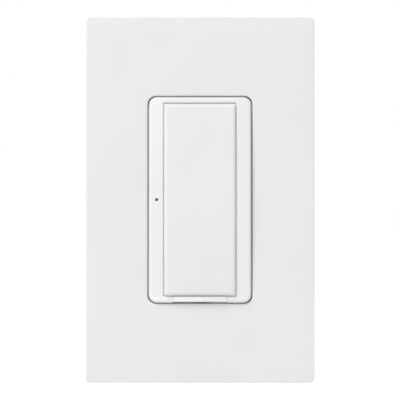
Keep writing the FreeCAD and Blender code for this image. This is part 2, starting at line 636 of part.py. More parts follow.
def score_groove(x):
    """The V groove along which a side fin breaks off."""
    half = SCORE_WIDTH / 2
    points = [V(x - half, yoke_front_y, 0), V(x + half, yoke_front_y, 0),
              V(x, yoke_front_y + SCORE_DEPTH, 0), V(x - half, yoke_front_y, 0)]
    groove = Part.Face(Part.makePolygon(points)).extrude(V(0, 0, fin_height + 2))
    groove.translate(V(0, 0, -fin_height / 2 - 1))
    return groove


def make_box_screws():
    screws = []
    for side in (-1, 1):
        z = side * box_screw_z
        head_y = yoke_front_y - BOX_SCREW_HEAD_HEIGHT
        head = rod(0, z, BOX_SCREW_HEAD_RADIUS, head_y, yoke_front_y)
        head = head.makeChamfer(BOX_SCREW_HEAD_BEVEL, front_edges(head, head_y + 0.01))
        neck = rod(0, z, BOX_SCREW_NECK_RADIUS, yoke_front_y, BOX_SCREW_THREAD_START)
        thread = rod(0, z, BOX_SCREW_RADIUS, BOX_SCREW_THREAD_START, yoke_front_y + BOX_SCREW_LENGTH)
        screws.append(drive_slot(head.multiFuse([neck, thread]), 0, head_y, z, "y", BOX_SCREW_HEAD_RADIUS))
    return Part.makeCompound(screws)


def make_screw_retainers():
    washers = []
    for side in (-1, 1):
        z = side * box_screw_z
        front_y = yoke_back_y + SEAT_GAP
        disc = rod(0, z, RETAINER_RADIUS, front_y, front_y + RETAINER_THICKNESS)
        washers.append(disc.cut(rod(0, z, BOX_SCREW_NECK_RADIUS + SLIDE_GAP, -1, BOX_SCREW_THREAD_START)))
    return Part.makeCompound(washers)


def make_ground_screw():
    head_y = GROUND_WIRE_SPACE
    back_y = head_y + GROUND_HEAD_HEIGHT
    shank = rod(ground_x, ground_z, GROUND_SCREW_RADIUS, yoke_front_y + SLIDE_GAP, head_y)
    head = hex_prism(ground_x, ground_z, GROUND_HEAD_RADIUS, head_y, back_y)
    return drive_slot(head.fuse(shank), ground_x, back_y - DRIVE_SLOT_DEPTH,
                      ground_z, "y", GROUND_HEAD_RADIUS)


def hex_prism(x, z, radius, y0, y1):
    points = []
    for i in range(7):
        a = math.radians(60 * i)
        points.append(V(x + radius * math.cos(a), y0, z + radius * math.sin(a)))
    return Part.Face(Part.makePolygon(points)).extrude(V(0, y1 - y0, 0))


# Rear housing and its terminals

def make_rear_housing():
    body = rounded_slab(housing_width, housing_height, HOUSING_CORNER_RADIUS, yoke_back_y, housing_back_y)
    back = [e for e in body.Edges if e.BoundBox.YMin > housing_back_y - 0.01]
    body = body.makeChamfer(HOUSING_BACK_BEVEL, back)
    body = body.cut(rounded_slab(housing_width - 2 * HOUSING_WALL, housing_height - 2 * HOUSING_WALL,
                                 HOUSING_CORNER_RADIUS - HOUSING_WALL / 2, -1, housing_floor_y))
    shell = rounded_slab(housing_width, housing_height, HOUSING_CORNER_RADIUS, yoke_back_y, housing_floor_y)
    adds = []
    cuts = [rounded_slab(PANEL_WIDTH, PANEL_HEIGHT, PANEL_RADIUS, housing_back_y - PANEL_RECESS,
                         housing_back_y + 1)]
    for side in (-1, 1):
        for top in (-1, 1):
            x, z = side * column_x, top * column_z
            adds.append(rod(x, z, COLUMN_RADIUS, yoke_back_y, housing_floor_y).common(shell))
            adds.append(rod(side * post_x, top * post_z, BOARD_POST_RADIUS,
                            power_board_y + BOARD_THICKNESS, housing_floor_y))
            adds.append(pocket_walls(side, top * terminal_z))
            adds.append(board_post(side, top * terminal_z))
            cuts.append(pocket_space(side, top * terminal_z))
            cuts.append(rod(x, z, HOUSING_SCREW_RADIUS + HOLE_GAP, -1, housing_back_y + 1))
            cuts.append(rod(x, z, HOUSING_SCREW_HEAD_RADIUS + HOLE_GAP, counterbore_y, housing_back_y + 1))
    return body.multiFuse(adds).cut(Part.makeCompound(cuts)).removeSplitter()


def mirrored(shape, side):
    return shape if side > 0 else shape.mirror(V(0, 0, 0), X_AXIS)


def pocket_walls(side, z):
    """The inside of a terminal pocket, seen from within the housing."""
    half = POCKET_HEIGHT / 2 + POCKET_WALL
    wall = block(pocket_inner_x, housing_half_width - HOUSING_WALL / 2, POCKET_FRONT_Y - POCKET_WALL,
                 pocket_back_y + POCKET_WALL, z - half, z + half)
    return mirrored(wall, side)


def pocket_space(side, z):
    half = POCKET_HEIGHT / 2
    space = block(pocket_floor_x, housing_half_width + 1, POCKET_FRONT_Y, pocket_back_y, z - half, z + half)
    half_tail = TAIL_WIDTH / 2 + HOLE_GAP
    slot = block(pocket_inner_x - 1, pocket_floor_x + 1, tail_y - HOLE_GAP,
                 tail_y + TERMINAL_THICKNESS + HOLE_GAP, z - half_tail, z + half_tail)
    bore = Part.makeCylinder(TERMINAL_SCREW_RADIUS + HOLE_GAP, POCKET_WALL + 2,
                             V(pocket_inner_x - 1, terminal_screw_y, z), X_AXIS)
    return mirrored(space.multiFuse([slot, bore]), side)


def board_post(side, z):
    """A rest for the control board, on the front wall of a terminal pocket."""
    half = BOARD_POST_RADIUS
    post = block(pocket_inner_x, control_board_width / 2 + half, control_back_y,
                 POCKET_FRONT_Y - POCKET_WALL / 2, z - half, z + half)
    return mirrored(post, side)


def make_terminal(side, z):
    """A brass plate on the pocket's floor, with a tail through the wall to the power board."""
    half = POCKET_HEIGHT / 2 - TERMINAL_MARGIN
    outer_x = pocket_floor_x + SEAT_GAP + TERMINAL_THICKNESS
    plate = block(pocket_floor_x + SEAT_GAP, outer_x, POCKET_FRONT_Y + TERMINAL_MARGIN,
                  tail_y + TERMINAL_THICKNESS, z - half, z + half)
    plate = plate.cut(Part.makeCylinder(TERMINAL_SCREW_RADIUS + HOLE_GAP / 2, 2 * POCKET_DEPTH,
                                        V(pocket_inner_x, terminal_screw_y, z), X_AXIS))
    half = TAIL_WIDTH / 2
    tail = block(tail_inner_x, outer_x, tail_y, tail_y + TERMINAL_THICKNESS, z - half, z + half)
    leg = block(tail_inner_x, tail_inner_x + TERMINAL_THICKNESS, tail_y, power_board_y - SEAT_GAP,
                z - half, z + half)
    return mirrored(plate.multiFuse([tail, leg]).removeSplitter(), side)


def make_terminal_screws():
    screws = []
    head_x = pocket_floor_x + SEAT_GAP + TERMINAL_THICKNESS + TERMINAL_WIRE_SPACE
    start_x = pocket_inner_x - TERMINAL_SCREW_TAIL
    for side in (-1, 1):
        for top in (-1, 1):
            z = top * terminal_z
            shank = Part.makeCylinder(TERMINAL_SCREW_RADIUS, head_x - start_x,
                                      V(start_x, terminal_screw_y, z), X_AXIS)
            head = Part.makeCylinder(TERMINAL_HEAD_RADIUS, TERMINAL_HEAD_HEIGHT,
                                     V(head_x, terminal_screw_y, z), X_AXIS)
            screw = drive_slot(head.fuse(shank), head_x + TERMINAL_HEAD_HEIGHT - DRIVE_SLOT_DEPTH,
                               terminal_screw_y, z, "x", TERMINAL_HEAD_RADIUS)
            screws.append(mirrored(screw, side))
    return Part.makeCompound(screws)


def make_housing_screws():
    screws = []
    back_y = counterbore_y + HOUSING_SCREW_HEAD_HEIGHT
    for side in (-1, 1):
        for top in (-1, 1):
            x, z = side * column_x, top * column_z
            shank = rod(x, z, HOUSING_SCREW_RADIUS, yoke_front_y + SLIDE_GAP, counterbore_y)
            head = rod(x, z, HOUSING_SCREW_HEAD_RADIUS, counterbore_y, back_y)
            screws.append(drive_slot(head.fuse(shank), x, back_y - DRIVE_SLOT_DEPTH, z, "y",
                                     HOUSING_SCREW_HEAD_RADIUS))
    return Part.makeCompound(screws)


# Electronics

def make_control_board():
    return rounded_slab(control_board_width, control_board_height, BOARD_CORNER_RADIUS,
                        CONTROL_BOARD_Y, control_back_y)


def make_power_board():
    width = housing_width - 2 * HOUSING_WALL - 2 * POWER_BOARD_MARGIN
    height = housing_height - 2 * HOUSING_WALL - 2 * POWER_BOARD_MARGIN
    board = rounded_slab(width, height, BOARD_CORNER_RADIUS, power_board_y, power_board_y + BOARD_THICKNESS)
    corners = [rod(side * column_x, top * column_z, COLUMN_RADIUS + HOLE_GAP, power_board_y - 1,
                   housing_floor_y) for side in (-1, 1) for top in (-1, 1)]
    board = board.cut(Part.makeCompound(corners))
    return max(board.Solids, key=lambda solid: solid.Volume)


def make_tact_switch():
    half = TACT_SIDE / 2
    body = block(-half, half, tact_front_y, CONTROL_BOARD_Y, tact_z - half, tact_z + half)
    depth = PLUNGER_INSIDE + PLUNGER_TRAVEL + SLIDE_GAP
    return body.cut(rod(0, tact_z, PLUNGER_RADIUS + SLIDE_GAP, tact_front_y - 1, tact_front_y + depth))


def make_tact_plunger():
    body = rod(0, tact_z, PLUNGER_RADIUS, plunger_front_y, plunger_front_y + PLUNGER_LENGTH)
    return body.makeChamfer(PLUNGER_CHAMFER, front_edges(body, plunger_front_y + 0.01))


def make_status_led():
    half = STATUS_LED_SIZE / 2
    return block(light_x - half, light_x + half, CONTROL_BOARD_Y - STATUS_LED_HEIGHT, CONTROL_BOARD_Y,
                 LIGHT_Z - half, LIGHT_Z + half)


def make_radio_module():
    can = block(-RADIO_WIDTH / 2, RADIO_WIDTH / 2, CONTROL_BOARD_Y - RADIO_THICKNESS, CONTROL_BOARD_Y,
                RADIO_Z - RADIO_HEIGHT / 2, RADIO_Z + RADIO_HEIGHT / 2)
    return can.makeChamfer(RADIO_EDGE_BEVEL, front_edges(can, CONTROL_BOARD_Y - RADIO_THICKNESS + 0.01))


def make_microcontroller():
    half = CHIP_SIDE / 2
    return block(-half, half, control_back_y, control_back_y + CHIP_THICKNESS, CHIP_Z - half, CHIP_Z + half)


def make_antenna():
    """A folded metal strip that stands on the control board, with a foot at each end."""
    half = ANTENNA_WIDTH / 2
    top_y = CONTROL_BOARD_Y - ANTENNA_RISE
    depth = ANTENNA_STRIP / 2
    bar = block(-half, half, top_y, top_y + ANTENNA_STRIP / 2, antenna_z - depth, antenna_z + depth)
    feet = [block(x, x + ANTENNA_STRIP, top_y, CONTROL_BOARD_Y, antenna_z - depth, antenna_z + depth)
            for x in (-half, -half + ANTENNA_FOOT_PITCH)]
    return bar.multiFuse(feet).removeSplitter()


def make_board_header():
    half = HEADER_LENGTH / 2
    depth = HEADER_WIDTH / 2
    body = block(-half, half, power_board_y - HEADER_WIDTH, power_board_y,
                 header_z - depth, header_z + depth)
    pitch = HEADER_LENGTH / HEADER_PINS
    pin = HEADER_PIN_SIDE / 2
    pins = []
    for i in range(HEADER_PINS):
        x = -half + pitch * (i + 0.5)
        pins.append(block(x - pin, x + pin, control_back_y, power_board_y - HEADER_WIDTH + 0.5,
                          header_z - pin, header_z + pin))
    return body.multiFuse(pins)


def make_relay():
    return board_can(RELAY_X, RELAY_Z, RELAY_WIDTH, RELAY_LENGTH, RELAY_HEIGHT)


def make_film_capacitor():
    return board_can(FILM_X, FILM_Z, FILM_WIDTH, FILM_LENGTH, FILM_HEIGHT)


def board_can(x, z, width, length, height):
    """A moulded box that stands on the power board."""
    top_y = power_board_y - height
    body = block(x - width / 2, x + width / 2, top_y, power_board_y, z - length / 2, z + length / 2)
    return body.makeChamfer(CAN_EDGE_BEVEL, front_edges(body, top_y + 0.01))


def make_bulk_capacitor():
    top_y = power_board_y - BULK_HEIGHT
    can = rod(BULK_X, BULK_Z, BULK_RADIUS, top_y, power_board_y)
    return can.makeChamfer(CAN_EDGE_BEVEL, front_edges(can, top_y + 0.01))


def make_choke():
    top_y = power_board_y - CHOKE_HEIGHT
    flange = CHOKE_HEIGHT / 5
    return rod(CHOKE_X, CHOKE_Z, CHOKE_WAIST_RADIUS, top_y, power_board_y).multiFuse([
        rod(CHOKE_X, CHOKE_Z, CHOKE_RADIUS, top_y, top_y + flange),
        rod(CHOKE_X, CHOKE_Z, CHOKE_RADIUS, power_board_y - flange, power_board_y)])


def make_varistor():
    middle_y = power_board_y - VARISTOR_LEG - VARISTOR_RADIUS
    disc = Part.makeCylinder(VARISTOR_RADIUS, VARISTOR_THICKNESS,
                             V(VARISTOR_X, middle_y, VARISTOR_Z - VARISTOR_THICKNESS / 2), Z_AXIS)
    leg = HEADER_PIN_SIDE / 2
    legs = [block(VARISTOR_X + dx - leg, VARISTOR_X + dx + leg, middle_y, power_board_y,
                  VARISTOR_Z - leg, VARISTOR_Z + leg) for dx in (-VARISTOR_RADIUS / 2, VARISTOR_RADIUS / 2)]
    return disc.multiFuse(legs)


# Service contacts and return springs

def make_bridge_contact():
    half = CONTACT_X + CONTACT_WIDTH / 2
    depth = CONTACT_WIDTH / 2
    return block(-half, half, carriage_back_y, bridge_back_y, contact_z - depth, contact_z + depth)


def make_service_contacts():
    contacts = []
    for side in (-1, 1):
        x0 = side * CONTACT_X - CONTACT_WIDTH / 2
        x1 = x0 + CONTACT_WIDTH
        depth = CONTACT_WIDTH / 2
        pad_y = bridge_back_y + SEAT_GAP
        pad = block(x0, x1, pad_y, pad_y + CONTACT_THICKNESS, contact_z - depth, contact_z + depth)
        leg = block(x0, x1, pad_y, power_board_y, contact_z - depth, contact_z - depth + CONTACT_THICKNESS)
        contacts.append(pad.fuse(leg).removeSplitter())
    return Part.makeCompound(contacts)


def make_return_springs():
    """Two bent steel leaves that stand on the yoke and bear on the paddle's lower edge."""
    springs = []
    rise_y = PADDLE_BACK_Y + SEAT_GAP
    thick = SPRING_THICKNESS
    tip_z = PADDLE_CENTRE_Z - PADDLE_HEIGHT / 2 + PADDLE_WALL / 2
    foot_z = tip_z + SPRING_LENGTH
    bend_z = tip_z + SPRING_LENGTH / 2
    foot_y = yoke_front_y - SEAT_GAP
    for side in (-1, 1):
        points = [
            V(0, foot_y, foot_z), V(0, foot_y, bend_z), V(0, rise_y + thick, tip_z), V(0, rise_y, tip_z),
            V(0, foot_y - thick, bend_z), V(0, foot_y - thick, foot_z), V(0, foot_y, foot_z),
        ]
        leaf = Part.Face(Part.makePolygon(points)).extrude(V(SPRING_WIDTH, 0, 0))
        leaf.translate(V(side * SPRING_X - SPRING_WIDTH / 2, 0, 0))
        springs.append(leaf)
    return Part.makeCompound(springs)


def all_pieces():
    return {
        "cover_plate": make_cover_plate(),
        "bezel": make_bezel(),
        "paddle": make_paddle(),
        "service_tab": make_service_tab(),
        "light_pipe": make_light_pipe(),
        "plate_adapter": make_plate_adapter(),
        "adapter_screws": make_adapter_screws(),
        "yoke": make_yoke(),
        "box_screws": make_box_screws(),
        "screw_retainers": make_screw_retainers(),
        "ground_screw": make_ground_screw(),
        "rear_housing": make_rear_housing(),
        "housing_screws": make_housing_screws(),
        "line_terminal": make_terminal(-1, terminal_z),
        "load_terminal": make_terminal(-1, -terminal_z),
        "neutral_terminal": make_terminal(1, terminal_z),
        "remote_terminal": make_terminal(1, -terminal_z),
        "terminal_screws": make_terminal_screws(),
        "control_board": make_control_board(),
        "tact_switch": make_tact_switch(),
        "tact_plunger": make_tact_plunger(),
        "status_led": make_status_led(),
        "radio_module": make_radio_module(),
        "microcontroller": make_microcontroller(),
        "antenna": make_antenna(),
        "board_header": make_board_header(),
        "power_board": make_power_board(),
        "relay": make_relay(),
        "film_capacitor": make_film_capacitor(),
        "bulk_capacitor": make_bulk_capacitor(),
        "choke": make_choke(),
        "varistor": make_varistor(),
        "bridge_contact": make_bridge_contact(),
        "service_contacts": make_service_contacts(),
        "return_springs": make_return_springs(),
    }


os.makedirs("parts", exist_ok=True)
for name, shape in all_pieces().items():
    shape.exportStep("parts/" + name + ".step")
    print(name, len(shape.Solids), round(shape.Volume, 1), shape.isValid())
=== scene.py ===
import json
import math

import bmesh
import bpy
from bpy.props import FloatProperty, FloatVectorProperty, IntProperty, PointerProperty
from mathutils import Matrix, Vector


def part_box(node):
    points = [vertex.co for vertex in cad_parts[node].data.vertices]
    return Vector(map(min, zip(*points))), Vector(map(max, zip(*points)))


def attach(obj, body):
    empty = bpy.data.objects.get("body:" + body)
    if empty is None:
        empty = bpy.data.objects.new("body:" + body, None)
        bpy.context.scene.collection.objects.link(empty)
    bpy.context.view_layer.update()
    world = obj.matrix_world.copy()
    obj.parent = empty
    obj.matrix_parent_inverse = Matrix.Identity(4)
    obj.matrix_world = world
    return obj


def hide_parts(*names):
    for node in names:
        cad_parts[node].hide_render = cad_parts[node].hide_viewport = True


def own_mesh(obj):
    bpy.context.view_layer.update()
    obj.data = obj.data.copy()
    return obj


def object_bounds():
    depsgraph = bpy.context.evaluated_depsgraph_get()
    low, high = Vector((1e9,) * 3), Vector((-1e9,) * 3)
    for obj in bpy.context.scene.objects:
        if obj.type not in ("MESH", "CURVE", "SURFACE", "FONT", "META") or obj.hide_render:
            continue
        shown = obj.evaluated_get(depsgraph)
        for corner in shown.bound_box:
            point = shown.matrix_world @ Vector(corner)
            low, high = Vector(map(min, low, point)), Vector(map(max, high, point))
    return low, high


bl_info = {
    "name": "Wall switch dresser",
    "version": (1, 0, 0),
    "blender": (4, 5, 0),
    "location": "3D View > Sidebar > Wall switch",
    "description": "Smooth mouldings, threaded screws, finishes and studio for a packed wall switch",
    "category": "Object",
}

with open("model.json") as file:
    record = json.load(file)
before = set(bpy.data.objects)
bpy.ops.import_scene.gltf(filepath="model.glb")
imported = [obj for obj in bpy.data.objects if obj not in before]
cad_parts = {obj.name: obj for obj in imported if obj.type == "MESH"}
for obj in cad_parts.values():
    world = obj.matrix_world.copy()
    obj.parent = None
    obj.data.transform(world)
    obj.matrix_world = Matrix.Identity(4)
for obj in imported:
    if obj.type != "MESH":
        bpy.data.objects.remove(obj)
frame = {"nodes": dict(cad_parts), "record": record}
cad_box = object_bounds()

cover_low, cover_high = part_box("cover_plate")
tab_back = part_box("service_tab")[1].y
paddle_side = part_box("paddle")[1].x

# Points of a ring round each corner, along its short sides and along its long sides
CORNER_STEPS = 8
WIDE_STEPS = 12
TALL_STEPS = 24

# Sides meet smoothly up to this angle, in degrees
SMOOTH_ANGLE = 32.0
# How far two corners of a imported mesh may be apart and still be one
MERGE_DISTANCE = 0.000002
# The least radius of a corner or of a turned shape's middle
LEAST_RADIUS = 0.00002
# How far a part sinks into the one that carries it
SINK = 0.0002
# How far a cutter runs past the surface that it cuts
PAST = 0.001
# Noise lies between these values for the most part
NOISE_LOW, NOISE_HIGH = 0.3, 0.7
# Swaps Y and Z
Y_TO_Z = Matrix(((1, 0, 0, 0), (0, 0, 1, 0), (0, 1, 0, 0), (0, 0, 0, 1)))

# The finish of each material slot
FINISH_OF_SLOT = {
    "plate_plastic": "satin_plate", "bezel_plastic": "gloss_bezel", "paddle_plastic": "satin_control",
    "light_pipe": "smoked_light", "adapter_plastic": "matt_adapter", "screw_steel": "zinc_plated",
    "yoke_metal": "stamped_strap", "fibre": "fibre_washer", "green_screw": "green_dyed",
    "housing_plastic": "dark_housing", "brass": "plain_brass", "plated_brass": "nickel_brass",
    "board": "green_board", "dark_plastic": "dark_case", "plunger_plastic": "pale_plunger",
    "led": "clear_resin", "can_metal": "tin_can", "relay_plastic": "relay_blue",
    "film_yellow": "yellow_film", "sleeve": "shrink_sleeve", "ferrite": "ferrite_grey",
    "varistor_blue": "dipped_blue", "spring_steel": "bright_spring",
}


# Sizes and colours that a user may change

def length(name, description, default):
    return FloatProperty(name=name, description=description, default=default, unit="LENGTH",
                         subtype="DISTANCE", precision=5)


def power(name, description, default):
    return FloatProperty(name=name, description=description, default=default, subtype="POWER")


def colour(name, description, default):
    return FloatVectorProperty(name=name, description=description, default=default, size=3,
                               subtype="COLOR", min=0.0, max=1.0)


class PlateSizes(bpy.types.PropertyGroup):
    """The cover plate's outside, opening and edges"""
    width: length("Width", "Across the rim on the wall", cover_high.x - cover_low.x)
    height: length("Height", "Up the rim on the wall", cover_high.z - cover_low.z)
    depth: length("Depth", "From the wall to the front", -cover_low.y)
    corner: length("Corner radius", "Outside corners at the wall", 0.0019)
    draft: length("Side draft", "How far the two long sides lean in by the front", 0.00045)
    end_draft: length("End draft", "How far the two ends lean in by the front", 0.0006)
    front_round: length("Front round", "Radius between sides and front", 0.00045)
    wall: length("Wall", "Thickness of sides and front", 0.0018)
    opening_width: length("Opening width", "Across the opening", 0.03374)
    opening_height: length("Opening height", "Up the opening", 0.06694)
    opening_corner: length("Opening corner", "Corner radius of the opening", 0.00272)
    opening_round: length("Opening round", "How far the round on the opening's edge runs out", 0.0007)
    opening_drop: length("Opening round drop", "How far that round falls back", 0.0004)
    inner_corner: length("Inner corner", "Corner radius inside the sides", 0.00165)
    hook_width: length("Hook width", "Width of one clip hook", 0.0065)
    hook_thick: length("Hook thickness", "Thickness of a hook's shaft", 0.0009)
    hook_catch: length("Hook catch", "How far a hook's catch stands out", 0.0007)
    hook_inset: length("Hook inset", "From the plate's inner side to a hook", 0.0022)
    hook_rise: length("Hook rise", "From the middle side hook to the next one", 0.038)
    hook_aside: length("Hook aside", "From the plate's middle to an end hook", 0.02)


class ControlSizes(bpy.types.PropertyGroup):
    """The control face: bezel, paddle and service tab"""
    width: length("Bezel width", "Across the bezel", 0.0324)
    height: length("Bezel height", "Up the bezel", 0.0657)
    front: length("Bezel front", "How far the bezel's middle stands off the wall", 0.0093)
    back: length("Bezel back", "How far the bezel's back stands off the wall", 0.0015)
    corner: length("Bezel corner", "Outside corner radius", 0.0024)
    edge: length("Bezel edge", "How far the outer edge's round runs in", 0.00065)
    edge_drop: length("Bezel edge drop", "How far the outer edge's round falls back", 0.00045)
    inner_edge: length("Window edge", "How far the window's round runs out", 0.0005)
    inner_drop: length("Window edge drop", "How far the window's round falls back", 0.0003)
    flange_step: length("Flange step", "How far the bezel's flange stands out into the plate's gap", 0.0004)
    flange_front: length("Flange front", "How far the flange's front stands off the wall", 0.0068)
    flange_back: length("Flange back", "How far the flange's back stands off the wall", 0.0061)
    window_width: length("Window width", "Across the window", 0.0234)
    window_height: length("Window height", "Up the window", 0.0622)
    window_corner: length("Window corner", "Corner radius of the window", 0.00025)
    centre: length("Paddle centre", "Height of the paddle's middle", 0.00005)
    rise: length("Arch", "How far the arched face falls back at its ends", 0.001)
    side_fall: length("Side fall", "How far the side strips fall back at the outer edge", 0.00016)
    paddle_width: length("Paddle width", "Across the paddle", 0.02244)
    paddle_height: length("Paddle height", "Up the paddle", 0.0611)
    paddle_proud: length("Paddle step", "How far the paddle stands in front of the bezel", 0.0009)
    paddle_edge: length("Paddle edge", "How far the paddle's round runs in", 0.00095)
    paddle_edge_drop: length("Paddle edge drop", "How far the paddle's round falls back", 0.0006)
    paddle_corner: length("Paddle corner", "Corner radius of the paddle", 0.0002)
    paddle_wall: length("Paddle wall", "Thickness of the paddle's sides", 0.0015)
    skirt_step: length("Skirt step", "How far the paddle's skirt stands out into the gap", 0.0004)
    skirt_depth: length("Skirt depth", "From the paddle's face back to its skirt", 0.0013)
    paddle_back: length("Paddle back", "How far the paddle's rim stands off the wall", 0.0033)
    tab_width: length("Tab width", "Across the service tab", 0.0172)
    tab_proud: length("Tab step", "How far the tab stands in front of the bezel", 0.00018)
    tab_short: length("Tab short", "How far the tab stops short of the bezel's lower end", 0.00005)
    tab_edge: length("Tab edge", "Rounding of the tab's edge", 0.0002)
    lip: length("Lip", "How far the strip under the window leans out at its lower edge", 0.00036)
    tab_gap: length("Tab gap", "Gap at each side of the tab", 0.00007)
    stem_width: length("Stem width", "Across the tab's stem", 0.005)
    stem_thick: length("Stem thickness", "Thickness of the tab's stem", 0.001)
    stem_drop: length("Stem drop", "From the window's lower edge to the stem's middle", 0.0007)
    stem_gap: length("Stem gap", "Gap round the stem in the bezel", 0.0002)
    light_aside: length("Light aside", "From the window to the middle of the light's bore", 0.0022)
    light_bore: length("Light bore", "Radius of the light's bore", 0.0005)
    rib_thick: length("Rib thickness", "Thickness of the paddle's ribs", 0.001)
    rib_back: length("Rib back", "From the paddle's rim to its ribs", 0.0012)
    pivot_back: length("Pivot back", "How far the pivots stand off the wall", 0.005)
    pivot_drop: length("Pivot drop", "From the paddle's upper end to the pivots", 0.003)
    post_drop: length("Post drop", "How far the push post is below the middle", 0.022)


class ScrewSizes(bpy.types.PropertyGroup):
    """Threads and driver slots"""
    pitch: length("Thread pitch", "Advance of one turn", 0.00079)
    depth: length("Thread depth", "From crest to root", 0.00034)
    slot_width: length("Slot width", "Across a driver slot", 0.0009)
    slot_depth: length("Slot depth", "Depth of a driver slot", 0.0008)
    segments: IntProperty(name="Segments", description="Points round one turn", default=24, min=8, max=48)
    slot_turn: FloatProperty(name="Slot turn", description="How much further each next screw is turned",
                             default=math.radians(37.0), subtype="ANGLE")


class PartSizes(bpy.types.PropertyGroup):
    """Sizes of the small electronic parts"""
    wire: length("Wire", "Thickness of the choke's copper wire", 0.00036)
    score: length("Score", "Width of the scored cross on the capacitor's top", 0.00025)
    leg_pitch: length("Leg pitch", "Distance between the chip's legs", 0.0008)
    leg_width: length("Leg width", "Width of one leg of the chip", 0.0003)
    leg_reach: length("Leg reach", "How far a leg stands out of the chip's side", 0.0007)


class Finish(bpy.types.PropertyGroup):
    """Colours of the main finishes"""
    plate: colour("Plate", "Satin white of the cover plate", (0.800, 0.7985, 0.815))
    control: colour("Control", "Satin white of the paddle", (0.806, 0.8025, 0.818))
    bezel: colour("Bezel", "Glossy white of bezel and tab", (0.836, 0.832, 0.848))
    frame: colour("Adapter", "Matt white of the plate adapter", (0.72, 0.72, 0.71))
    housing: colour("Housing", "Dark moulding behind the wall", (0.018, 0.018, 0.020))
    strap: colour("Strap", "Stamped aluminium", (0.72, 0.73, 0.74))
    zinc: colour("Zinc", "Plated screws", (0.52, 0.53, 0.54))
    brass: colour("Brass", "Terminals and contacts", (0.78, 0.55, 0.22))
    light: colour("Light pipe", "Smoked clear plastic", (0.05, 0.05, 0.055))


class Studio(bpy.types.PropertyGroup):
    """Camera and lamps"""
    distance: length("Camera distance", "From the wall plane to the camera", 0.45)
    lower: length("Camera below", "How far the camera is below the switch's middle", 0.006)
    lens: FloatProperty(name="Lens", description="Focal length in millimetres", default=123.7)
    key: power("Key lamp", "Power of the lamp high on the left", 38.5)
    rim: power("Rim lamp", "Power of the grazing lamp above the wall", 15)
    side: power("Side lamp", "Power of the grazing lamp on the left", 2.0)
    right: power("Right lamp", "Power of the grazing lamp on the right", 4.8)
    card: power("Front card", "Power of the small card left of the camera", 0.3)
    ambient: FloatProperty(name="Ambient", description="Strength of the sky", default=0.46)
    floor_drop: length("Floor drop", "From the plate's lower end to the floor", 0.06)


class SwitchSettings(bpy.types.PropertyGroup):
    """Everything that the panel shows"""
    plate: PointerProperty(type=PlateSizes)
    control: PointerProperty(type=ControlSizes)
    screws: PointerProperty(type=ScrewSizes)
    parts: PointerProperty(type=PartSizes)
    finish: PointerProperty(type=Finish)
    studio: PointerProperty(type=Studio)


# Meshes

def link_mesh(name, mesh):
    piece = bpy.data.objects.new(name, mesh)
    bpy.context.scene.collection.objects.link(piece)
    return piece


def drop(piece):
    bpy.data.objects.remove(piece)


def skin(bm, rows, closed=False, reverse=False):
    """Joins rows of vertices, each a ring, with quads; closed joins the last row to the first as well."""
    count = len(rows[0])
    for low, high in zip(rows, rows[1:] + rows[:1] if closed else rows[1:]):
        for i in range(count):
            j = (i + 1) % count
            if reverse:
                bm.faces.new((low[i], high[i], high[j], low[j]))
            else:
                bm.faces.new((low[i], low[j], high[j], high[i]))


def round_rows(bm, profile, segments, place):
    """A ring of vertices about Y for each (radius, y) point of the profile."""
    turns = [2 * math.pi * i / segments for i in range(segments)]
    return [[bm.verts.new(place @ Vector((r * math.cos(a), y, r * math.sin(a)))) for a in turns]
            for r, y in profile]


def shade(mesh, angle=SMOOTH_ANGLE):
    mesh.shade_smooth()
    mesh.set_sharp_from_angle(angle=math.radians(angle))


def plain_mesh(piece, name):
    """The piece as its modifiers leave it, as a new mesh."""
    graph = bpy.context.evaluated_depsgraph_get()
    mesh = bpy.data.meshes.new_from_object(piece.evaluated_get(graph))
    mesh.name = name
    return mesh


def ring(width, height, radius, depth, centre=0.0):
    """A rectangle with round corners, always with the same number of points; depth gives y at (x, z)."""
    half_w = width / 2 - radius
    half_h = height / 2 - radius
    corners = ((half_w, half_h), (-half_w, half_h), (-half_w, -half_h), (half_w, -half_h))
    flat = []
    for quarter, (cx, cz) in enumerate(corners):
        for step in range(CORNER_STEPS + 1):
            a = math.pi / 2 * (quarter + step / CORNER_STEPS)
            flat.append((cx + radius * math.cos(a), cz + radius * math.sin(a)))
        nx, nz = corners[(quarter + 1) % 4]
        a = math.pi / 2 * (quarter + 1)
        x0, z0 = flat[-1]
        x1, z1 = nx + radius * math.cos(a), nz + radius * math.sin(a)
        steps = WIDE_STEPS if quarter % 2 == 0 else TALL_STEPS
        for step in range(1, steps):
            t = step / steps
            flat.append((x0 + (x1 - x0) * t, z0 + (z1 - z0) * t))
    return [Vector((x, depth(x, z + centre), z + centre)) for x, z in flat]


def between(first, last, t, depth):
    """A ring part of the way from one ring to another, laid on the depth surface."""
    points = []
    for a, b in zip(first, last):
        p = a.lerp(b, t)
        points.append(Vector((p.x, depth(p.x, p.z), p.z)))
    return points


def level(y):
    return lambda x, z: y


def behind(surface, y):
    """The depth surface moved back by y."""
    return lambda x, z: surface(x, z) + y


def edge_rings(width, height, radius, surface, size, centre=0.0, steps=5, outward=False, drop_by=None):
    """Rings of a rounded edge, from the wall to the face, or back down into an opening.

    size is how far the round runs over the face, and drop_by how far it falls back, if that differs.
    """
    rings = []
    drop_by = size if drop_by is None else drop_by
    for step in range(steps + 1):
        a = math.pi / 2 * step / steps
        inset = size * (1 - math.cos(a))
        fall = drop_by * (1 - math.sin(a))
        if outward:
            inset = -inset
        rings.append(ring(width - 2 * inset, height - 2 * inset, max(radius - inset, LEAST_RADIUS),
                          behind(surface, fall), centre))
    return rings[::-1] if outward else rings


def loft(bm, rings, closed=False, first_cap=False, last_cap=False):
    """Joins rings of points with quads; the last cap faces the room and the first one the wall."""
    rows = [[bm.verts.new(p) for p in points] for points in rings]
    skin(bm, rows, closed)
    if first_cap:
        bm.faces.new(rows[0][::-1])
    if last_cap:
        bm.faces.new(rows[-1])
    return rows


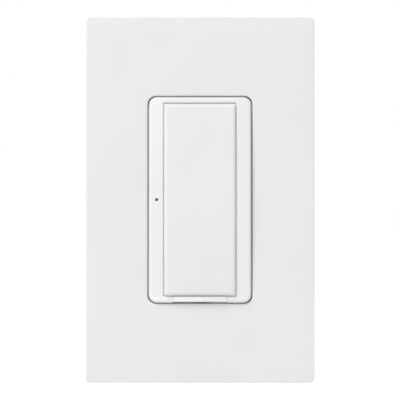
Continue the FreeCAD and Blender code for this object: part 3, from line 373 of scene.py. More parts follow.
def add_box(bm, x0, x1, y0, y1, z0, z1):
    size = Matrix.Diagonal((x1 - x0, y1 - y0, z1 - z0, 1.0))
    middle = Matrix.Translation(((x0 + x1) / 2, (y0 + y1) / 2, (z0 + z1) / 2))
    bmesh.ops.create_cube(bm, size=1.0, matrix=middle @ size)


def soften_all(bm, width):
    """Rounds every edge that the mesh has so far."""
    bmesh.ops.bevel(bm, geom=bm.edges[:], offset=width, segments=2, affect="EDGES")


def add_rod(bm, centre, axis, radius, reach, bevel=0.0, segments=32):
    """A round bar from the centre point, reach long along the axis, with bevelled ends."""
    turn = Vector((0, 0, 1)).rotation_difference(Vector(axis)).to_matrix().to_4x4()
    profile = [(radius - bevel, 0.0), (radius, bevel), (radius, reach - bevel), (radius - bevel, reach)]
    rows = round_rows(bm, profile, segments, Matrix.Translation(centre) @ turn @ Y_TO_Z)
    skin(bm, rows)
    bm.faces.new(rows[0][::-1])
    bm.faces.new(rows[-1])


def finish_mesh(bm, name, angle=SMOOTH_ANGLE):
    mesh = bpy.data.meshes.new(name)
    bm.to_mesh(mesh)
    bm.free()
    shade(mesh, angle)
    return mesh


def make_piece(bm, name, angle=SMOOTH_ANGLE):
    return link_mesh(name, finish_mesh(bm, name, angle))


def cut_away(mesh, cutters, name):
    """The mesh with the closed cutter shapes taken out."""
    body = link_mesh(name, mesh)
    tool = link_mesh(name + "_tool", cutters)
    step = body.modifiers.new("cut", "BOOLEAN")
    step.operation = "DIFFERENCE"
    step.solver = "EXACT"
    step.use_self = True
    step.object = tool
    result = plain_mesh(body, name)
    drop(body)
    drop(tool)
    shade(result)
    return result


def merged(node):
    """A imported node's mesh with the corners of its loose triangles merged."""
    bm = bmesh.new()
    bm.from_mesh(frame["nodes"][node].data)
    bmesh.ops.remove_doubles(bm, verts=bm.verts, dist=MERGE_DISTANCE)
    return bm


def cad_copy(node, name):
    """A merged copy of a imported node's mesh, with flat pairs of triangles joined."""
    bm = merged(node)
    flat, skewed = math.radians(0.6), math.radians(60)
    bmesh.ops.join_triangles(bm, faces=bm.faces, angle_face_threshold=flat, angle_shape_threshold=skewed)
    mesh = bpy.data.meshes.new(name)
    bm.to_mesh(mesh)
    bm.free()
    return mesh


def softened(node, name, width, segments=2, angle=38.0):
    """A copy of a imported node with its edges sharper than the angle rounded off."""
    piece = link_mesh(name, cad_copy(node, name))
    bevel = piece.modifiers.new("edges", "BEVEL")
    bevel.width = width
    bevel.segments = segments
    bevel.limit_method = "ANGLE"
    bevel.angle_limit = math.radians(angle)
    bevel.use_clamp_overlap = True
    bevel.miter_outer = "MITER_ARC"
    result = plain_mesh(piece, name + "_soft")
    drop(piece)
    shade(result, angle)
    return link_mesh(name, result)


def solids_of(node):
    """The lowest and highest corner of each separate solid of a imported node, from low to high."""
    bm = merged(node)
    unseen = set(bm.verts)
    boxes = []
    while unseen:
        front = [unseen.pop()]
        found = list(front)
        while front:
            vert = front.pop()
            for edge in vert.link_edges:
                other = edge.other_vert(vert)
                if other in unseen:
                    unseen.remove(other)
                    front.append(other)
                    found.append(other)
        low = Vector([min(v.co[i] for v in found) for i in range(3)])
        high = Vector([max(v.co[i] for v in found) for i in range(3)])
        boxes.append((low, high))
    bm.free()
    return sorted(boxes, key=lambda box: (round(box[0].x, 4), round(box[0].z, 4)))


def turned(bm, profile, segments, place, hollow=False):
    """A closed turned shape about Y: solid with an end cap at each end, or a hollow band."""
    rows = round_rows(bm, profile, segments, place)
    skin(bm, rows, closed=hollow, reverse=True)
    if not hollow:
        bm.faces.new(rows[0])
        bm.faces.new(rows[-1][::-1])
    bmesh.ops.recalc_face_normals(bm, faces=bm.faces)


def stand_for(piece, body, node, slot):
    """Gives the piece its finish, body and slot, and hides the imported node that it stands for."""
    piece.data.materials.clear()
    piece.data.materials.append(finish(FINISH_OF_SLOT[slot]))
    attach(piece, body)
    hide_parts(node)


def second_finish(piece, first_face, material):
    """Gives the faces from the first one on another finish."""
    piece.data.materials.append(material)
    for face in piece.data.polygons[first_face:]:
        face.material_index = 1


def arched(sizes, front, lip=0.0):
    """Depth of the arched control face whose middle stands front off the wall.

    Under the window the face leans out by lip at its lower edge.
    """
    half = sizes.height / 2
    radius = (half ** 2 + sizes.rise ** 2) / (2 * sizes.rise)
    flat = sizes.window_width / 2
    slope = sizes.side_fall / (sizes.width / 2 - flat)
    window_bottom = sizes.centre - sizes.window_height / 2
    strip = window_bottom + half

    def depth(x, z):
        fall = slope * max(0.0, abs(x) - flat)
        lean = lip * max(0.0, window_bottom - z) / strip
        return -front - lean + radius - math.sqrt((radius - fall) ** 2 - z ** 2)
    return depth


# Geometry node trees

def new_tree(name, inputs):
    """A modifier tree with a geometry input and output and the named inputs."""
    tree = bpy.data.node_groups.new(name, "GeometryNodeTree")
    tree.interface.new_socket("Geometry", in_out="INPUT", socket_type="NodeSocketGeometry")
    for label, kind, default in inputs:
        socket = tree.interface.new_socket(label, in_out="INPUT", socket_type=kind)
        if default is not None:
            socket.default_value = default
    tree.interface.new_socket("Geometry", in_out="OUTPUT", socket_type="NodeSocketGeometry")
    tree.is_modifier = True
    return tree


def run_tree(piece, tree, values, name):
    """Runs the tree on the piece with the given input values and returns the plain mesh it makes."""
    step = piece.modifiers.new(tree.name, "NODES")
    step.node_group = tree
    for item in tree.interface.items_tree:
        if item.item_type == "SOCKET" and item.in_out == "INPUT" and item.name in values:
            step[item.identifier] = values[item.name]
    mesh = plain_mesh(piece, name)
    piece.modifiers.remove(step)
    return mesh


def copies_tree(name):
    """Places a copy of the item on every point of the input, turned by the point's turn attribute."""
    tree = new_tree(name, [("Item", "NodeSocketObject", None), ("Scale", "NodeSocketFloat", 1.0),
                           ("Material", "NodeSocketMaterial", None)])
    start, end, item, turn, rotation, place, real, paint = [tree.nodes.new(kind) for kind in (
        "NodeGroupInput", "NodeGroupOutput", "GeometryNodeObjectInfo", "GeometryNodeInputNamedAttribute",
        "FunctionNodeEulerToRotation", "GeometryNodeInstanceOnPoints", "GeometryNodeRealizeInstances",
        "GeometryNodeSetMaterial")]
    turn.data_type = "FLOAT_VECTOR"
    turn.inputs["Name"].default_value = "turn"
    for giver, output, taker, entry in (
            (start, "Geometry", place, "Points"), (start, "Item", item, "Object"),
            (item, "Geometry", place, "Instance"), (start, "Scale", place, "Scale"),
            (turn, "Attribute", rotation, "Euler"), (rotation, "Rotation", place, "Rotation"),
            (place, "Instances", real, "Geometry"), (real, "Geometry", paint, "Geometry"),
            (start, "Material", paint, "Material"), (paint, "Geometry", end, "Geometry")):
        tree.links.new(giver.outputs[output], taker.inputs[entry])
    return tree


def copies(item_mesh, places, material, name, angle=SMOOTH_ANGLE):
    """One mesh with a copy of the item at each (point, turn) place."""
    tree = bpy.data.node_groups.get("item_copies") or copies_tree("item_copies")
    item = link_mesh(name + "_item", item_mesh)
    points = bpy.data.meshes.new(name + "_points")
    points.from_pydata([p for p, turn in places], [], [])
    turns = points.attributes.new("turn", "FLOAT_VECTOR", "POINT")
    for spot, (p, turn) in zip(turns.data, places):
        spot.vector = turn
    carrier = link_mesh(name + "_points", points)
    mesh = run_tree(carrier, tree, {"Item": item, "Scale": 1.0, "Material": material}, name)
    drop(carrier)
    drop(item)
    for extra in [a for a in mesh.attributes if a.name == "turn"]:
        mesh.attributes.remove(extra)
    shade(mesh, angle)
    return mesh


def join_meshes(meshes):
    bm = bmesh.new()
    for mesh in meshes:
        bm.from_mesh(mesh)
    return bm


# Shader groups

def feed(tree, socket, value):
    """Links another node's socket to the input, or sets the input to a plain value."""
    if isinstance(value, bpy.types.NodeSocket):
        tree.links.new(value, socket)
    else:
        socket.default_value = value


def group(name, inputs, outputs=("Colour", "Roughness", "Height")):
    """A shader group; an input's default of four numbers is a colour, and one of three a vector."""
    tree = bpy.data.node_groups.new(name, "ShaderNodeTree")
    for label, default in inputs.items():
        count = len(default) if isinstance(default, tuple) else 1
        kind = {4: "NodeSocketColor", 3: "NodeSocketVector", 1: "NodeSocketFloat"}[count]
        tree.interface.new_socket(label, in_out="INPUT", socket_type=kind).default_value = default
    for label in outputs:
        kind = "NodeSocketColor" if label == "Colour" else "NodeSocketFloat"
        tree.interface.new_socket(label, in_out="OUTPUT", socket_type=kind)
    return tree, tree.nodes.new("NodeGroupInput"), tree.nodes.new("NodeGroupOutput")


def noise(tree, vector, scale, detail, rough):
    node = tree.nodes.new("ShaderNodeTexNoise")
    for label, value in (("Vector", vector), ("Scale", scale), ("Detail", detail), ("Roughness", rough)):
        feed(tree, node.inputs[label], value)
    return node.outputs["Fac"]


def math_node(tree, kind, *values):
    node = tree.nodes.new("ShaderNodeMath")
    node.operation = kind
    for socket, value in zip(node.inputs, values):
        feed(tree, socket, value)
    return node.outputs[0]


def scaled(tree, colour_socket, factor):
    """The colour times the factor."""
    node = tree.nodes.new("ShaderNodeVectorMath")
    node.operation = "SCALE"
    tree.links.new(colour_socket, node.inputs[0])
    tree.links.new(factor, node.inputs["Scale"])
    return node.outputs[0]


def spread(tree, value, low, high, to_low, to_high):
    """Lays the values from low to high over another range."""
    node = tree.nodes.new("ShaderNodeMapRange")
    for label, number in (("Value", value), ("From Min", low), ("From Max", high), ("To Min", to_low),
                          ("To Max", to_high)):
        feed(tree, node.inputs[label], number)
    return node.outputs["Result"]


def tone_change(tree, value, amount):
    """From 1 less the amount to 1 plus the amount, as the noise value rises."""
    low = math_node(tree, "SUBTRACT", 1.0, amount)
    high = math_node(tree, "ADD", 1.0, amount)
    return spread(tree, value, NOISE_LOW, NOISE_HIGH, low, high)


def mix_colour(tree, factor, a, b):
    node = tree.nodes.new("ShaderNodeMix")
    node.data_type = "RGBA"
    for value, number in ((factor, 0), (a, 6), (b, 7)):
        feed(tree, node.inputs[number], value)
    return node.outputs[2]


def object_place(tree):
    return tree.nodes.new("ShaderNodeTexCoord").outputs["Object"]


def skin_outputs(tree, start, end, tone, patches, height):
    """The colour times the tone, a roughness that goes with the patches, and the height."""
    swing = math_node(tree, "MULTIPLY", math_node(tree, "SUBTRACT", patches, 0.5),
                      math_node(tree, "MULTIPLY", start.outputs["Roughness Spread"], 2.0))
    tree.links.new(scaled(tree, start.outputs["Colour"], tone), end.inputs["Colour"])
    tree.links.new(math_node(tree, "ADD", start.outputs["Roughness"], swing), end.inputs["Roughness"])
    tree.links.new(height, end.inputs["Height"])


def moulded_group():
    """Fine grained skin, slow tone drift and a painted highlight that makes convex edges lighter."""
    tree, start, end = group("moulded_skin", {
        "Colour": (0.8, 0.8, 0.8, 1), "Grain Scale": 9000.0, "Drift": 0.02, "Painted Edge Highlight": 0.05,
        "Roughness": 0.4, "Roughness Spread": 0.06})
    place = object_place(tree)
    slow_scale, smear_scale = 45.0, 320.0
    edge_from, edge_full = 0.52, 0.6
    grain = noise(tree, place, start.outputs["Grain Scale"], 3.0, 0.6)
    slow = noise(tree, place, slow_scale, 2.0, 0.5)
    smear = noise(tree, place, smear_scale, 3.0, 0.55)
    # Painted highlight: where pointiness is high, on convex edges, the tone is lifted as if the edges caught
    # the light.
    edge = tree.nodes.new("ShaderNodeNewGeometry").outputs["Pointiness"]
    painted_edge_highlight = spread(tree, edge, edge_from, edge_full, 0.0, start.outputs["Painted Edge Highlight"])
    tone = math_node(tree, "ADD", tone_change(tree, slow, start.outputs["Drift"]), painted_edge_highlight)
    skin_outputs(tree, start, end, tone, smear, grain)


def brushed_group():
    """Rolled or turned metal: streaks along one axis, small pits and a slow change of tone."""
    tree, start, end = group("worked_metal", {
        "Colour": (0.7, 0.7, 0.7, 1), "Stretch": (1.0, 1.0, 1.0), "Streak Scale": 900.0, "Contrast": 0.08,
        "Roughness": 0.3, "Roughness Spread": 0.12})
    stretch = tree.nodes.new("ShaderNodeVectorMath")
    stretch.operation = "MULTIPLY"
    tree.links.new(object_place(tree), stretch.inputs[0])
    tree.links.new(start.outputs["Stretch"], stretch.inputs[1])
    streak = noise(tree, stretch.outputs[0], start.outputs["Streak Scale"], 4.0, 0.65)
    blotch_scale = 260.0
    blotch = noise(tree, object_place(tree), blotch_scale, 3.0, 0.6)
    both = math_node(tree, "MULTIPLY_ADD", blotch, 0.5, math_node(tree, "MULTIPLY", streak, 0.5))
    skin_outputs(tree, start, end, tone_change(tree, both, start.outputs["Contrast"]), blotch, streak)


def board_group():
    """Solder mask over copper: raised tracks in rows and round plated pads."""
    tree, start, end = group("board_tracks", {
        "Mask": (0.01, 0.09, 0.035, 1), "Track": (0.02, 0.2, 0.07, 1), "Pad": (0.72, 0.7, 0.66, 1),
        "Cell": 260.0}, ("Colour", "Pads", "Height"))
    place = object_place(tree)
    brick = tree.nodes.new("ShaderNodeTexBrick")
    brick.offset = 0.35
    for label, value in (("Color1", (0, 0, 0, 1)), ("Color2", (0, 0, 0, 1)), ("Mortar", (1, 1, 1, 1)),
                         ("Mortar Size", 0.05), ("Brick Width", 0.9), ("Row Height", 0.35)):
        brick.inputs[label].default_value = value
    flat = tree.nodes.new("ShaderNodeMapping")
    flat.inputs["Rotation"].default_value = (math.radians(90), 0, 0)
    tree.links.new(place, flat.inputs["Vector"])
    tree.links.new(flat.outputs["Vector"], brick.inputs["Vector"])
    tree.links.new(start.outputs["Cell"], brick.inputs["Scale"])
    track = brick.outputs["Color"]
    cells = tree.nodes.new("ShaderNodeTexVoronoi")
    cells.feature = "F1"
    cells.inputs["Randomness"].default_value = 0.75
    tree.links.new(place, cells.inputs["Vector"])
    tree.links.new(math_node(tree, "MULTIPLY", start.outputs["Cell"], 1.3), cells.inputs["Scale"])
    pads = spread(tree, cells.outputs["Distance"], 0.16, 0.2, 1.0, 0.0)
    base = mix_colour(tree, track, start.outputs["Mask"], start.outputs["Track"])
    tree.links.new(mix_colour(tree, pads, base, start.outputs["Pad"]), end.inputs["Colour"])
    tree.links.new(pads, end.inputs["Pads"])
    tree.links.new(math_node(tree, "ADD", track, pads), end.inputs["Height"])


def new_material(name):
    """A material's node tree and shader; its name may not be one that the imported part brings."""
    if name in bpy.data.materials:
        raise ValueError(name + " is already a material")
    material = bpy.data.materials.new(name)
    material.use_nodes = True
    return material.node_tree, material.node_tree.nodes["Principled BSDF"]


def bump(tree, shader, height, strength, distance):
    node = tree.nodes.new("ShaderNodeBump")
    node.inputs["Strength"].default_value = strength
    node.inputs["Distance"].default_value = distance
    tree.links.new(height, node.inputs["Height"])
    tree.links.new(node.outputs["Normal"], shader.inputs["Normal"])


def textured(name, group_name, values, own, strength, distance):
    """A material with a shader group's colour, roughness and bump, and with values of its own."""
    tree, shader = new_material(name)
    skin_node = tree.nodes.new("ShaderNodeGroup")
    skin_node.node_tree = bpy.data.node_groups[group_name]
    for label, value in values.items():
        skin_node.inputs[label].default_value = value
    for label, value in own.items():
        shader.inputs[label].default_value = value
    tree.links.new(skin_node.outputs["Colour"], shader.inputs["Base Color"])
    tree.links.new(skin_node.outputs["Roughness"], shader.inputs["Roughness"])
    bump(tree, shader, skin_node.outputs["Height"], strength, distance)


def moulded(name, tint, rough, grain_scale=9000.0, depth=0.00001, strength=0.25, drift=0.012,
            edge=0.03, rough_spread=0.05, coat=0.0):
    """A moulded, dipped or cast finish; edge is the strength of its painted highlight on convex edges."""
    textured(name, "moulded_skin",
             {"Colour": (*tint, 1), "Grain Scale": grain_scale, "Drift": drift, "Painted Edge Highlight": edge,
              "Roughness": rough, "Roughness Spread": rough_spread},
             {"Coat Weight": coat}, strength, depth)


def worked(name, tint, rough, stretch, scale, contrast, metallic=1.0, depth=0.00002, strength=0.2,
           rough_spread=0.1):
    """A rolled, stamped or turned metal finish."""
    textured(name, "worked_metal",
             {"Colour": (*tint, 1), "Stretch": stretch, "Streak Scale": scale, "Contrast": contrast,
              "Roughness": rough, "Roughness Spread": rough_spread},
             {"Metallic": metallic}, strength, depth)


def board_material():
    """Green solder mask with tinned pads."""
    tree, shader = new_material("green_board")
    tracks = tree.nodes.new("ShaderNodeGroup")
    tracks.node_tree = bpy.data.node_groups["board_tracks"]
    tree.links.new(tracks.outputs["Colour"], shader.inputs["Base Color"])
    tree.links.new(tracks.outputs["Pads"], shader.inputs["Metallic"])
    tree.links.new(spread(tree, tracks.outputs["Pads"], 0.0, 1.0, 0.42, 0.3), shader.inputs["Roughness"])
    bump(tree, shader, tracks.outputs["Height"], 0.4, 0.00004)


def finish(name):
    return bpy.data.materials[name]


# Operators

class SWITCH_OT_finishes(bpy.types.Operator):
    """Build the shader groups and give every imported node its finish"""
    bl_idname = "wall_switch.finishes"
    bl_label = "Finishes"

    def execute(self, context):
        colours = context.scene.wall_switch.finish
        moulded_group()
        brushed_group()
        board_group()
        # Every moulded finish paints a highlight on its convex edges; the edge values below set how strong
        # it is, 0.03 where none is given.
        moulded("satin_plate", colours.plate, 0.42, coat=0.05)
        moulded("satin_control", colours.control, 0.45, grain_scale=12000.0, strength=0.15, coat=0.05)
        moulded("gloss_bezel", colours.bezel, 0.2, grain_scale=12000.0, strength=0.08, coat=0.1)
        moulded("matt_adapter", colours.frame, 0.55, grain_scale=6000.0, strength=0.4, drift=0.02)
        moulded("dark_housing", colours.housing, 0.5, grain_scale=4200.0, depth=0.00003, strength=0.5,
                drift=0.12, edge=0.5, rough_spread=0.1)
        moulded("smoked_light", colours.light, 0.12, strength=0.05, coat=0.4)
        moulded("fibre_washer", (0.24, 0.075, 0.035), 0.75, grain_scale=2600.0, depth=0.00004,
                strength=0.6, drift=0.2)
        moulded("dark_case", (0.02, 0.02, 0.022), 0.42, drift=0.08, strength=0.3)
        moulded("pale_plunger", (0.6, 0.6, 0.57), 0.45, drift=0.03)
        moulded("clear_resin", (0.82, 0.8, 0.6), 0.15, drift=0.02, coat=0.5)
        moulded("relay_blue", (0.02, 0.07, 0.22), 0.38, drift=0.06, edge=0.2)
        moulded("yellow_film", (0.7, 0.42, 0.04), 0.3, drift=0.05, edge=0.1)
        moulded("shrink_sleeve", (0.015, 0.016, 0.03), 0.25, grain_scale=1500.0, drift=0.08, coat=0.3)
        moulded("ferrite_grey", (0.045, 0.043, 0.042), 0.7, grain_scale=3000.0, depth=0.00003,
                strength=0.6, drift=0.15)
        moulded("dipped_blue", (0.03, 0.12, 0.36), 0.22, grain_scale=900.0, depth=0.00005,
                strength=0.4, drift=0.08, coat=0.3)
        worked("stamped_strap", colours.strap, 0.34, (1, 1, 0.06), 1400.0, 0.06)
        worked("zinc_plated", colours.zinc, 0.3, (1, 1, 1), 700.0, 0.1)
        worked("green_dyed", (0.02, 0.24, 0.07), 0.35, (1, 1, 1), 700.0, 0.15, metallic=0.6)
        worked("plain_brass", colours.brass, 0.3, (1, 0.1, 1), 1200.0, 0.1)
        worked("nickel_brass", (0.56, 0.55, 0.52), 0.28, (1, 0.1, 1), 1200.0, 0.08)
        worked("enamelled_copper", (0.5, 0.16, 0.045), 0.28, (1, 1, 1), 900.0, 0.12)
        worked("tin_can", (0.7, 0.7, 0.7), 0.32, (0.1, 1, 1), 1500.0, 0.06)
        worked("bright_spring", (0.55, 0.55, 0.57), 0.28, (0.1, 1, 1), 1800.0, 0.07)
        board_material()
        for part in frame["record"]["subparts"]:
            node = frame["nodes"][part["node"]]
            node.data.materials.clear()
            node.data.materials.append(finish(FINISH_OF_SLOT[part["material_slot"]]))
        return {"FINISHED"}


class SWITCH_OT_cover_plate(bpy.types.Operator):
    """Build the cover plate as one moulded shell with its clip hooks"""
    bl_idname = "wall_switch.cover_plate"
    bl_label = "Cover plate"

    def execute(self, context):
        s = context.scene.wall_switch.plate
        front = level(-s.depth)
        inside = -s.depth + s.wall
        rings = [ring(s.width, s.height, s.corner, level(0.0))]
        rings += edge_rings(s.width - 2 * s.draft, s.height - 2 * s.end_draft, s.corner - s.draft, front,
                            s.front_round, steps=7)
        outer_face = rings[-1]
        opening = edge_rings(s.opening_width, s.opening_height, s.opening_corner, front,
                             s.opening_round, steps=5, outward=True, drop_by=s.opening_drop)
        rings += [between(outer_face, opening[0], share, front) for share in (0.2, 0.5, 0.8)]
        rings += opening
        rings.append(ring(s.opening_width, s.opening_height, s.opening_corner, level(inside)))
        for y in (inside, 0.0):
            rings.append(ring(s.width - 2 * s.wall, s.height - 2 * s.wall, s.inner_corner, level(y)))
        bm = bmesh.new()
        loft(bm, rings, closed=True)
        shell = finish_mesh(bm, "plate_shell")
        hooks = copies(self.hook_mesh(s, inside), self.hook_places(s), finish("satin_plate"), "plate_hooks")
        piece = make_piece(join_meshes([shell, hooks]), "plate_moulding")
        stand_for(piece, "switch_body", "cover_plate", "plate_plastic")
        return {"FINISHED"}

    def hook_mesh(self, s, inside):
        """One hook, seen along Z: its catch points at +X and its root is in the plate."""
        half = s.hook_width / 2
        root = inside - SINK
        tip = -0.00035
        catch = -0.00135
        slope = -0.0002
        profile = [(-s.hook_thick, root), (-s.hook_thick, tip), (slope, tip), (s.hook_catch, catch),
                   (0.0, catch), (0.0, root)]
        bm = bmesh.new()
        rows = [[bm.verts.new((x, y, z)) for x, y in profile] for z in (-half, half)]
        skin(bm, rows, reverse=True)
        bm.faces.new(rows[0])
        bm.faces.new(rows[1][::-1])
        bmesh.ops.recalc_face_normals(bm, faces=bm.faces)
        soften_all(bm, 0.0001)
        return finish_mesh(bm, "hook")

    def hook_places(self, s):
        """Where the hooks stand: three up each side and two along each end."""
        x = s.width / 2 - s.wall - s.hook_inset
        z = s.height / 2 - s.wall - s.hook_inset
        places = []
        for height in (-s.hook_rise, 0.0, s.hook_rise):
            places.append((Vector((-x, 0, height)), (0.0, 0.0, 0.0)))
            places.append((Vector((x, 0, height)), (math.pi, 0.0, math.pi)))
        for across in (-s.hook_aside, s.hook_aside):
            places.append((Vector((across, 0, z)), (0.0, math.pi / 2, 0.0)))
            places.append((Vector((across, 0, -z)), (0.0, -math.pi / 2, 0.0)))
        return places


class SWITCH_OT_bezel(bpy.types.Operator):
    """Build the arched bezel with its window, tab notch and light bore"""
    bl_idname = "wall_switch.bezel"
    bl_label = "Bezel"

    def execute(self, context):
        s = context.scene.wall_switch.control
        face = arched(s, s.front, s.lip)
        back = level(-s.back)
        flange_front = level(-s.flange_front)
        flange_back = level(-s.flange_back)
        outside = (s.width, s.height, s.corner)
        flange = (s.width + 2 * s.flange_step, s.height + 2 * s.flange_step, s.corner + s.flange_step)
        rings = [ring(*outside, back), ring(*outside, flange_back), ring(*flange, flange_back),
                 ring(*flange, flange_front), ring(*outside, flange_front)]
        rings += edge_rings(*outside, face, s.edge, steps=6, drop_by=s.edge_drop)
        outer = rings[-1]
        window = edge_rings(s.window_width, s.window_height, s.window_corner, face, s.inner_edge,
                            centre=s.centre, steps=4, outward=True, drop_by=s.inner_drop)
        rings += [between(outer, window[0], share, face) for share in (0.12, 0.3, 0.5, 0.7, 0.88)]
        rings += window
        rings.append(ring(s.window_width, s.window_height, s.window_corner, back, s.centre))
        bm = bmesh.new()
        loft(bm, rings, closed=True)
        mesh = cut_away(finish_mesh(bm, "bezel_body"), self.cutters(s), "bezel_moulding")
        stand_for(link_mesh("bezel_moulding", mesh), "switch_body", "bezel", "bezel_plastic")
        return {"FINISHED"}

    def cutters(self, s):
        """The notch for the tab, the stem's slot, the light's bore and the side channels."""
        bm = bmesh.new()
        window_bottom = s.centre - s.window_height / 2
        notch = s.tab_width / 2 + s.tab_gap
        notch_back = -0.0043
        add_box(bm, -notch, notch, -s.front - 2 * PAST, notch_back,
                -s.height / 2 - PAST, window_bottom + PAST)
        stem = window_bottom - s.stem_drop
        slot = s.stem_width / 2 + s.stem_gap
        slot_high = s.stem_thick / 2 + s.stem_gap
        slot_front = -0.005
        add_box(bm, -slot, slot, slot_front, PAST, stem - slot_high, stem + slot_high)
        light = Vector((-s.window_width / 2 - s.light_aside, -s.front - PAST, 0))
        add_rod(bm, light, (0, 1, 0), s.light_bore, 4 * PAST, segments=40)
        self.channels(bm, s)
        return finish_mesh(bm, "bezel_cutters")

    def channels(self, bm, s, bays=5):
        """The hollow bays behind each side strip, with ribs between them."""
        inner = s.window_width / 2 + 0.0012
        outer = s.width / 2 - 0.0014
        shoulder = -s.front + 0.0027
        half = s.window_height / 2 - 0.0014
        half_rib = 0.0008
        bay = 2 * half / bays
        for side in (-1, 1):
            x0, x1 = sorted((side * inner, side * outer))
            for i in range(bays):
                z0 = s.centre - half + i * bay + half_rib
                add_box(bm, x0, x1, shoulder, PAST, z0, z0 + bay - 2 * half_rib)


class SWITCH_OT_paddle(bpy.types.Operator):
    """Build the paddle: an arched cap with ribs, pivots and the push post behind it"""
    bl_idname = "wall_switch.paddle"
    bl_label = "Paddle"

    def execute(self, context):
        s = context.scene.wall_switch.control
        face = arched(s, s.front + s.paddle_proud)
        back = level(-s.paddle_back)
        width, height, corner, centre = s.paddle_width, s.paddle_height, s.paddle_corner, s.centre
        wall = s.paddle_wall
        ceiling = -s.front - s.paddle_proud + s.rise + s.side_fall + wall
        inner = (width - 2 * wall, height - 2 * wall, corner)
        skirt = (width + 2 * s.skirt_step, height + 2 * s.skirt_step, corner)
        step = behind(face, s.skirt_depth)
        rings = [ring(*inner, level(ceiling), centre), ring(*inner, back, centre),
                 ring(*skirt, back, centre), ring(*skirt, step, centre),
                 ring(width, height, corner, step, centre)]
        rings += edge_rings(width, height, corner, face, s.paddle_edge, centre, steps=7,
                            drop_by=s.paddle_edge_drop)
        for inset in (0.0014, 0.0026, 0.0045, 0.0065, 0.0085, 0.0102, 0.0112):
            rings.append(ring(width - 2 * inset, height - 2 * inset, 4 * LEAST_RADIUS, face, centre))
        bm = bmesh.new()
        rows = loft(bm, rings, first_cap=True)
        self.close_strip(bm, rows[-1])
        parts = [finish_mesh(bm, "paddle_cap"), self.ribs(s, ceiling), self.pins(s, ceiling)]
        stand_for(make_piece(join_meshes(parts), "paddle_moulding"), "paddle", "paddle", "paddle_plastic")
        return {"FINISHED"}

    def close_strip(self, bm, row):
        """Closes the last thin ring with quads from side to side, so the arch stays smooth."""
        first = CORNER_STEPS
        left_start = first + WIDE_STEPS
        count = len(row)
        tall = TALL_STEPS + 2 * CORNER_STEPS
        left = [row[left_start + i] for i in range(tall + 1)]
        right = [row[(first - i) % count] for i in range(tall + 1)]
        for i in range(tall):
            bm.faces.new((right[i + 1], right[i], left[i], left[i + 1]))
        bm.faces.new([row[i] for i in range(first, left_start + 1)])
        low = left_start + tall
        bm.faces.new([row[i % count] for i in range(low, low + WIDE_STEPS + 1)])

    def ribs(self, s, ceiling, count=4):
        """The stiffening ribs across the cap, one copy at each place."""
        bm = bmesh.new()
        half = s.paddle_width / 2 - s.paddle_wall + SINK
        thick = s.rib_thick / 2
        add_box(bm, -half, half, ceiling - SINK, -s.paddle_back - s.rib_back, -thick, thick)
        soften_all(bm, 0.00012)
        bottom = s.centre - s.paddle_height / 2
        pitch = s.paddle_height / (count + 1)
        places = [(Vector((0, 0, bottom + pitch * (i + 1))), (0.0, 0.0, 0.0)) for i in range(count)]
        return copies(finish_mesh(bm, "paddle_rib"), places, finish("satin_control"), "paddle_ribs")

    def pins(self, s, ceiling):
        """The long rib, the two pivots and the post that meets the push switch."""
        bm = bmesh.new()
        half = s.paddle_height / 2 - s.paddle_wall + SINK
        thick = s.rib_thick / 2
        add_box(bm, -thick, thick, ceiling - SINK, -s.paddle_back - s.rib_back,
                s.centre - half, s.centre + half)
        soften_all(bm, 0.00012)
        pivot = s.centre + s.paddle_height / 2 - s.pivot_drop
        start = s.paddle_width / 2 - s.paddle_wall
        pin_radius, post_radius, bevel = 0.001, 0.0016, 0.0002
        for side in (1, -1):
            add_rod(bm, Vector((side * start, -s.pivot_back, pivot)), (side, 0, 0), pin_radius,
                    paddle_side - start, bevel)
        plunger_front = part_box("tact_plunger")[0].y
        post_gap = 0.0001
        add_rod(bm, Vector((0, ceiling - SINK, -s.post_drop)), (0, 1, 0), post_radius,
                plunger_front - post_gap - ceiling + SINK, bevel)
        return finish_mesh(bm, "paddle_pins")


class SWITCH_OT_service_tab(bpy.types.Operator):
    """Build the pull-out tab in the strip under the paddle, with its stem and carriage"""
    bl_idname = "wall_switch.service_tab"
    bl_label = "Service tab"

    def execute(self, context):
        s = context.scene.wall_switch.control
        face = arched(s, s.front + s.tab_proud, s.lip)
        bottom = s.tab_short - s.height / 2
        top = s.centre - s.window_height / 2
        centre = (top + bottom) / 2
        back = -s.front + s.rise + 0.0036
        outline = (s.tab_width, top - bottom, 6 * LEAST_RADIUS)
        rings = [ring(*outline, level(back), centre)]
        rings += edge_rings(*outline, face, s.tab_edge, centre, steps=4)
        bm = bmesh.new()
        loft(bm, rings, first_cap=True, last_cap=True)
        stem = top - s.stem_drop
        half, low = s.stem_width / 2, stem - s.stem_thick / 2
        carriage_half, carriage_deep, carriage_top = 0.0045, 0.0024, 0.0021
        add_box(bm, -half, half, back - PAST, 0.0037, low, stem + s.stem_thick / 2)
        add_box(bm, -carriage_half, carriage_half, tab_back - carriage_deep, tab_back,
                low, stem + carriage_top)
        stand_for(make_piece(bm, "tab_moulding"), "service_slide", "service_tab", "bezel_plastic")
        return {"FINISHED"}


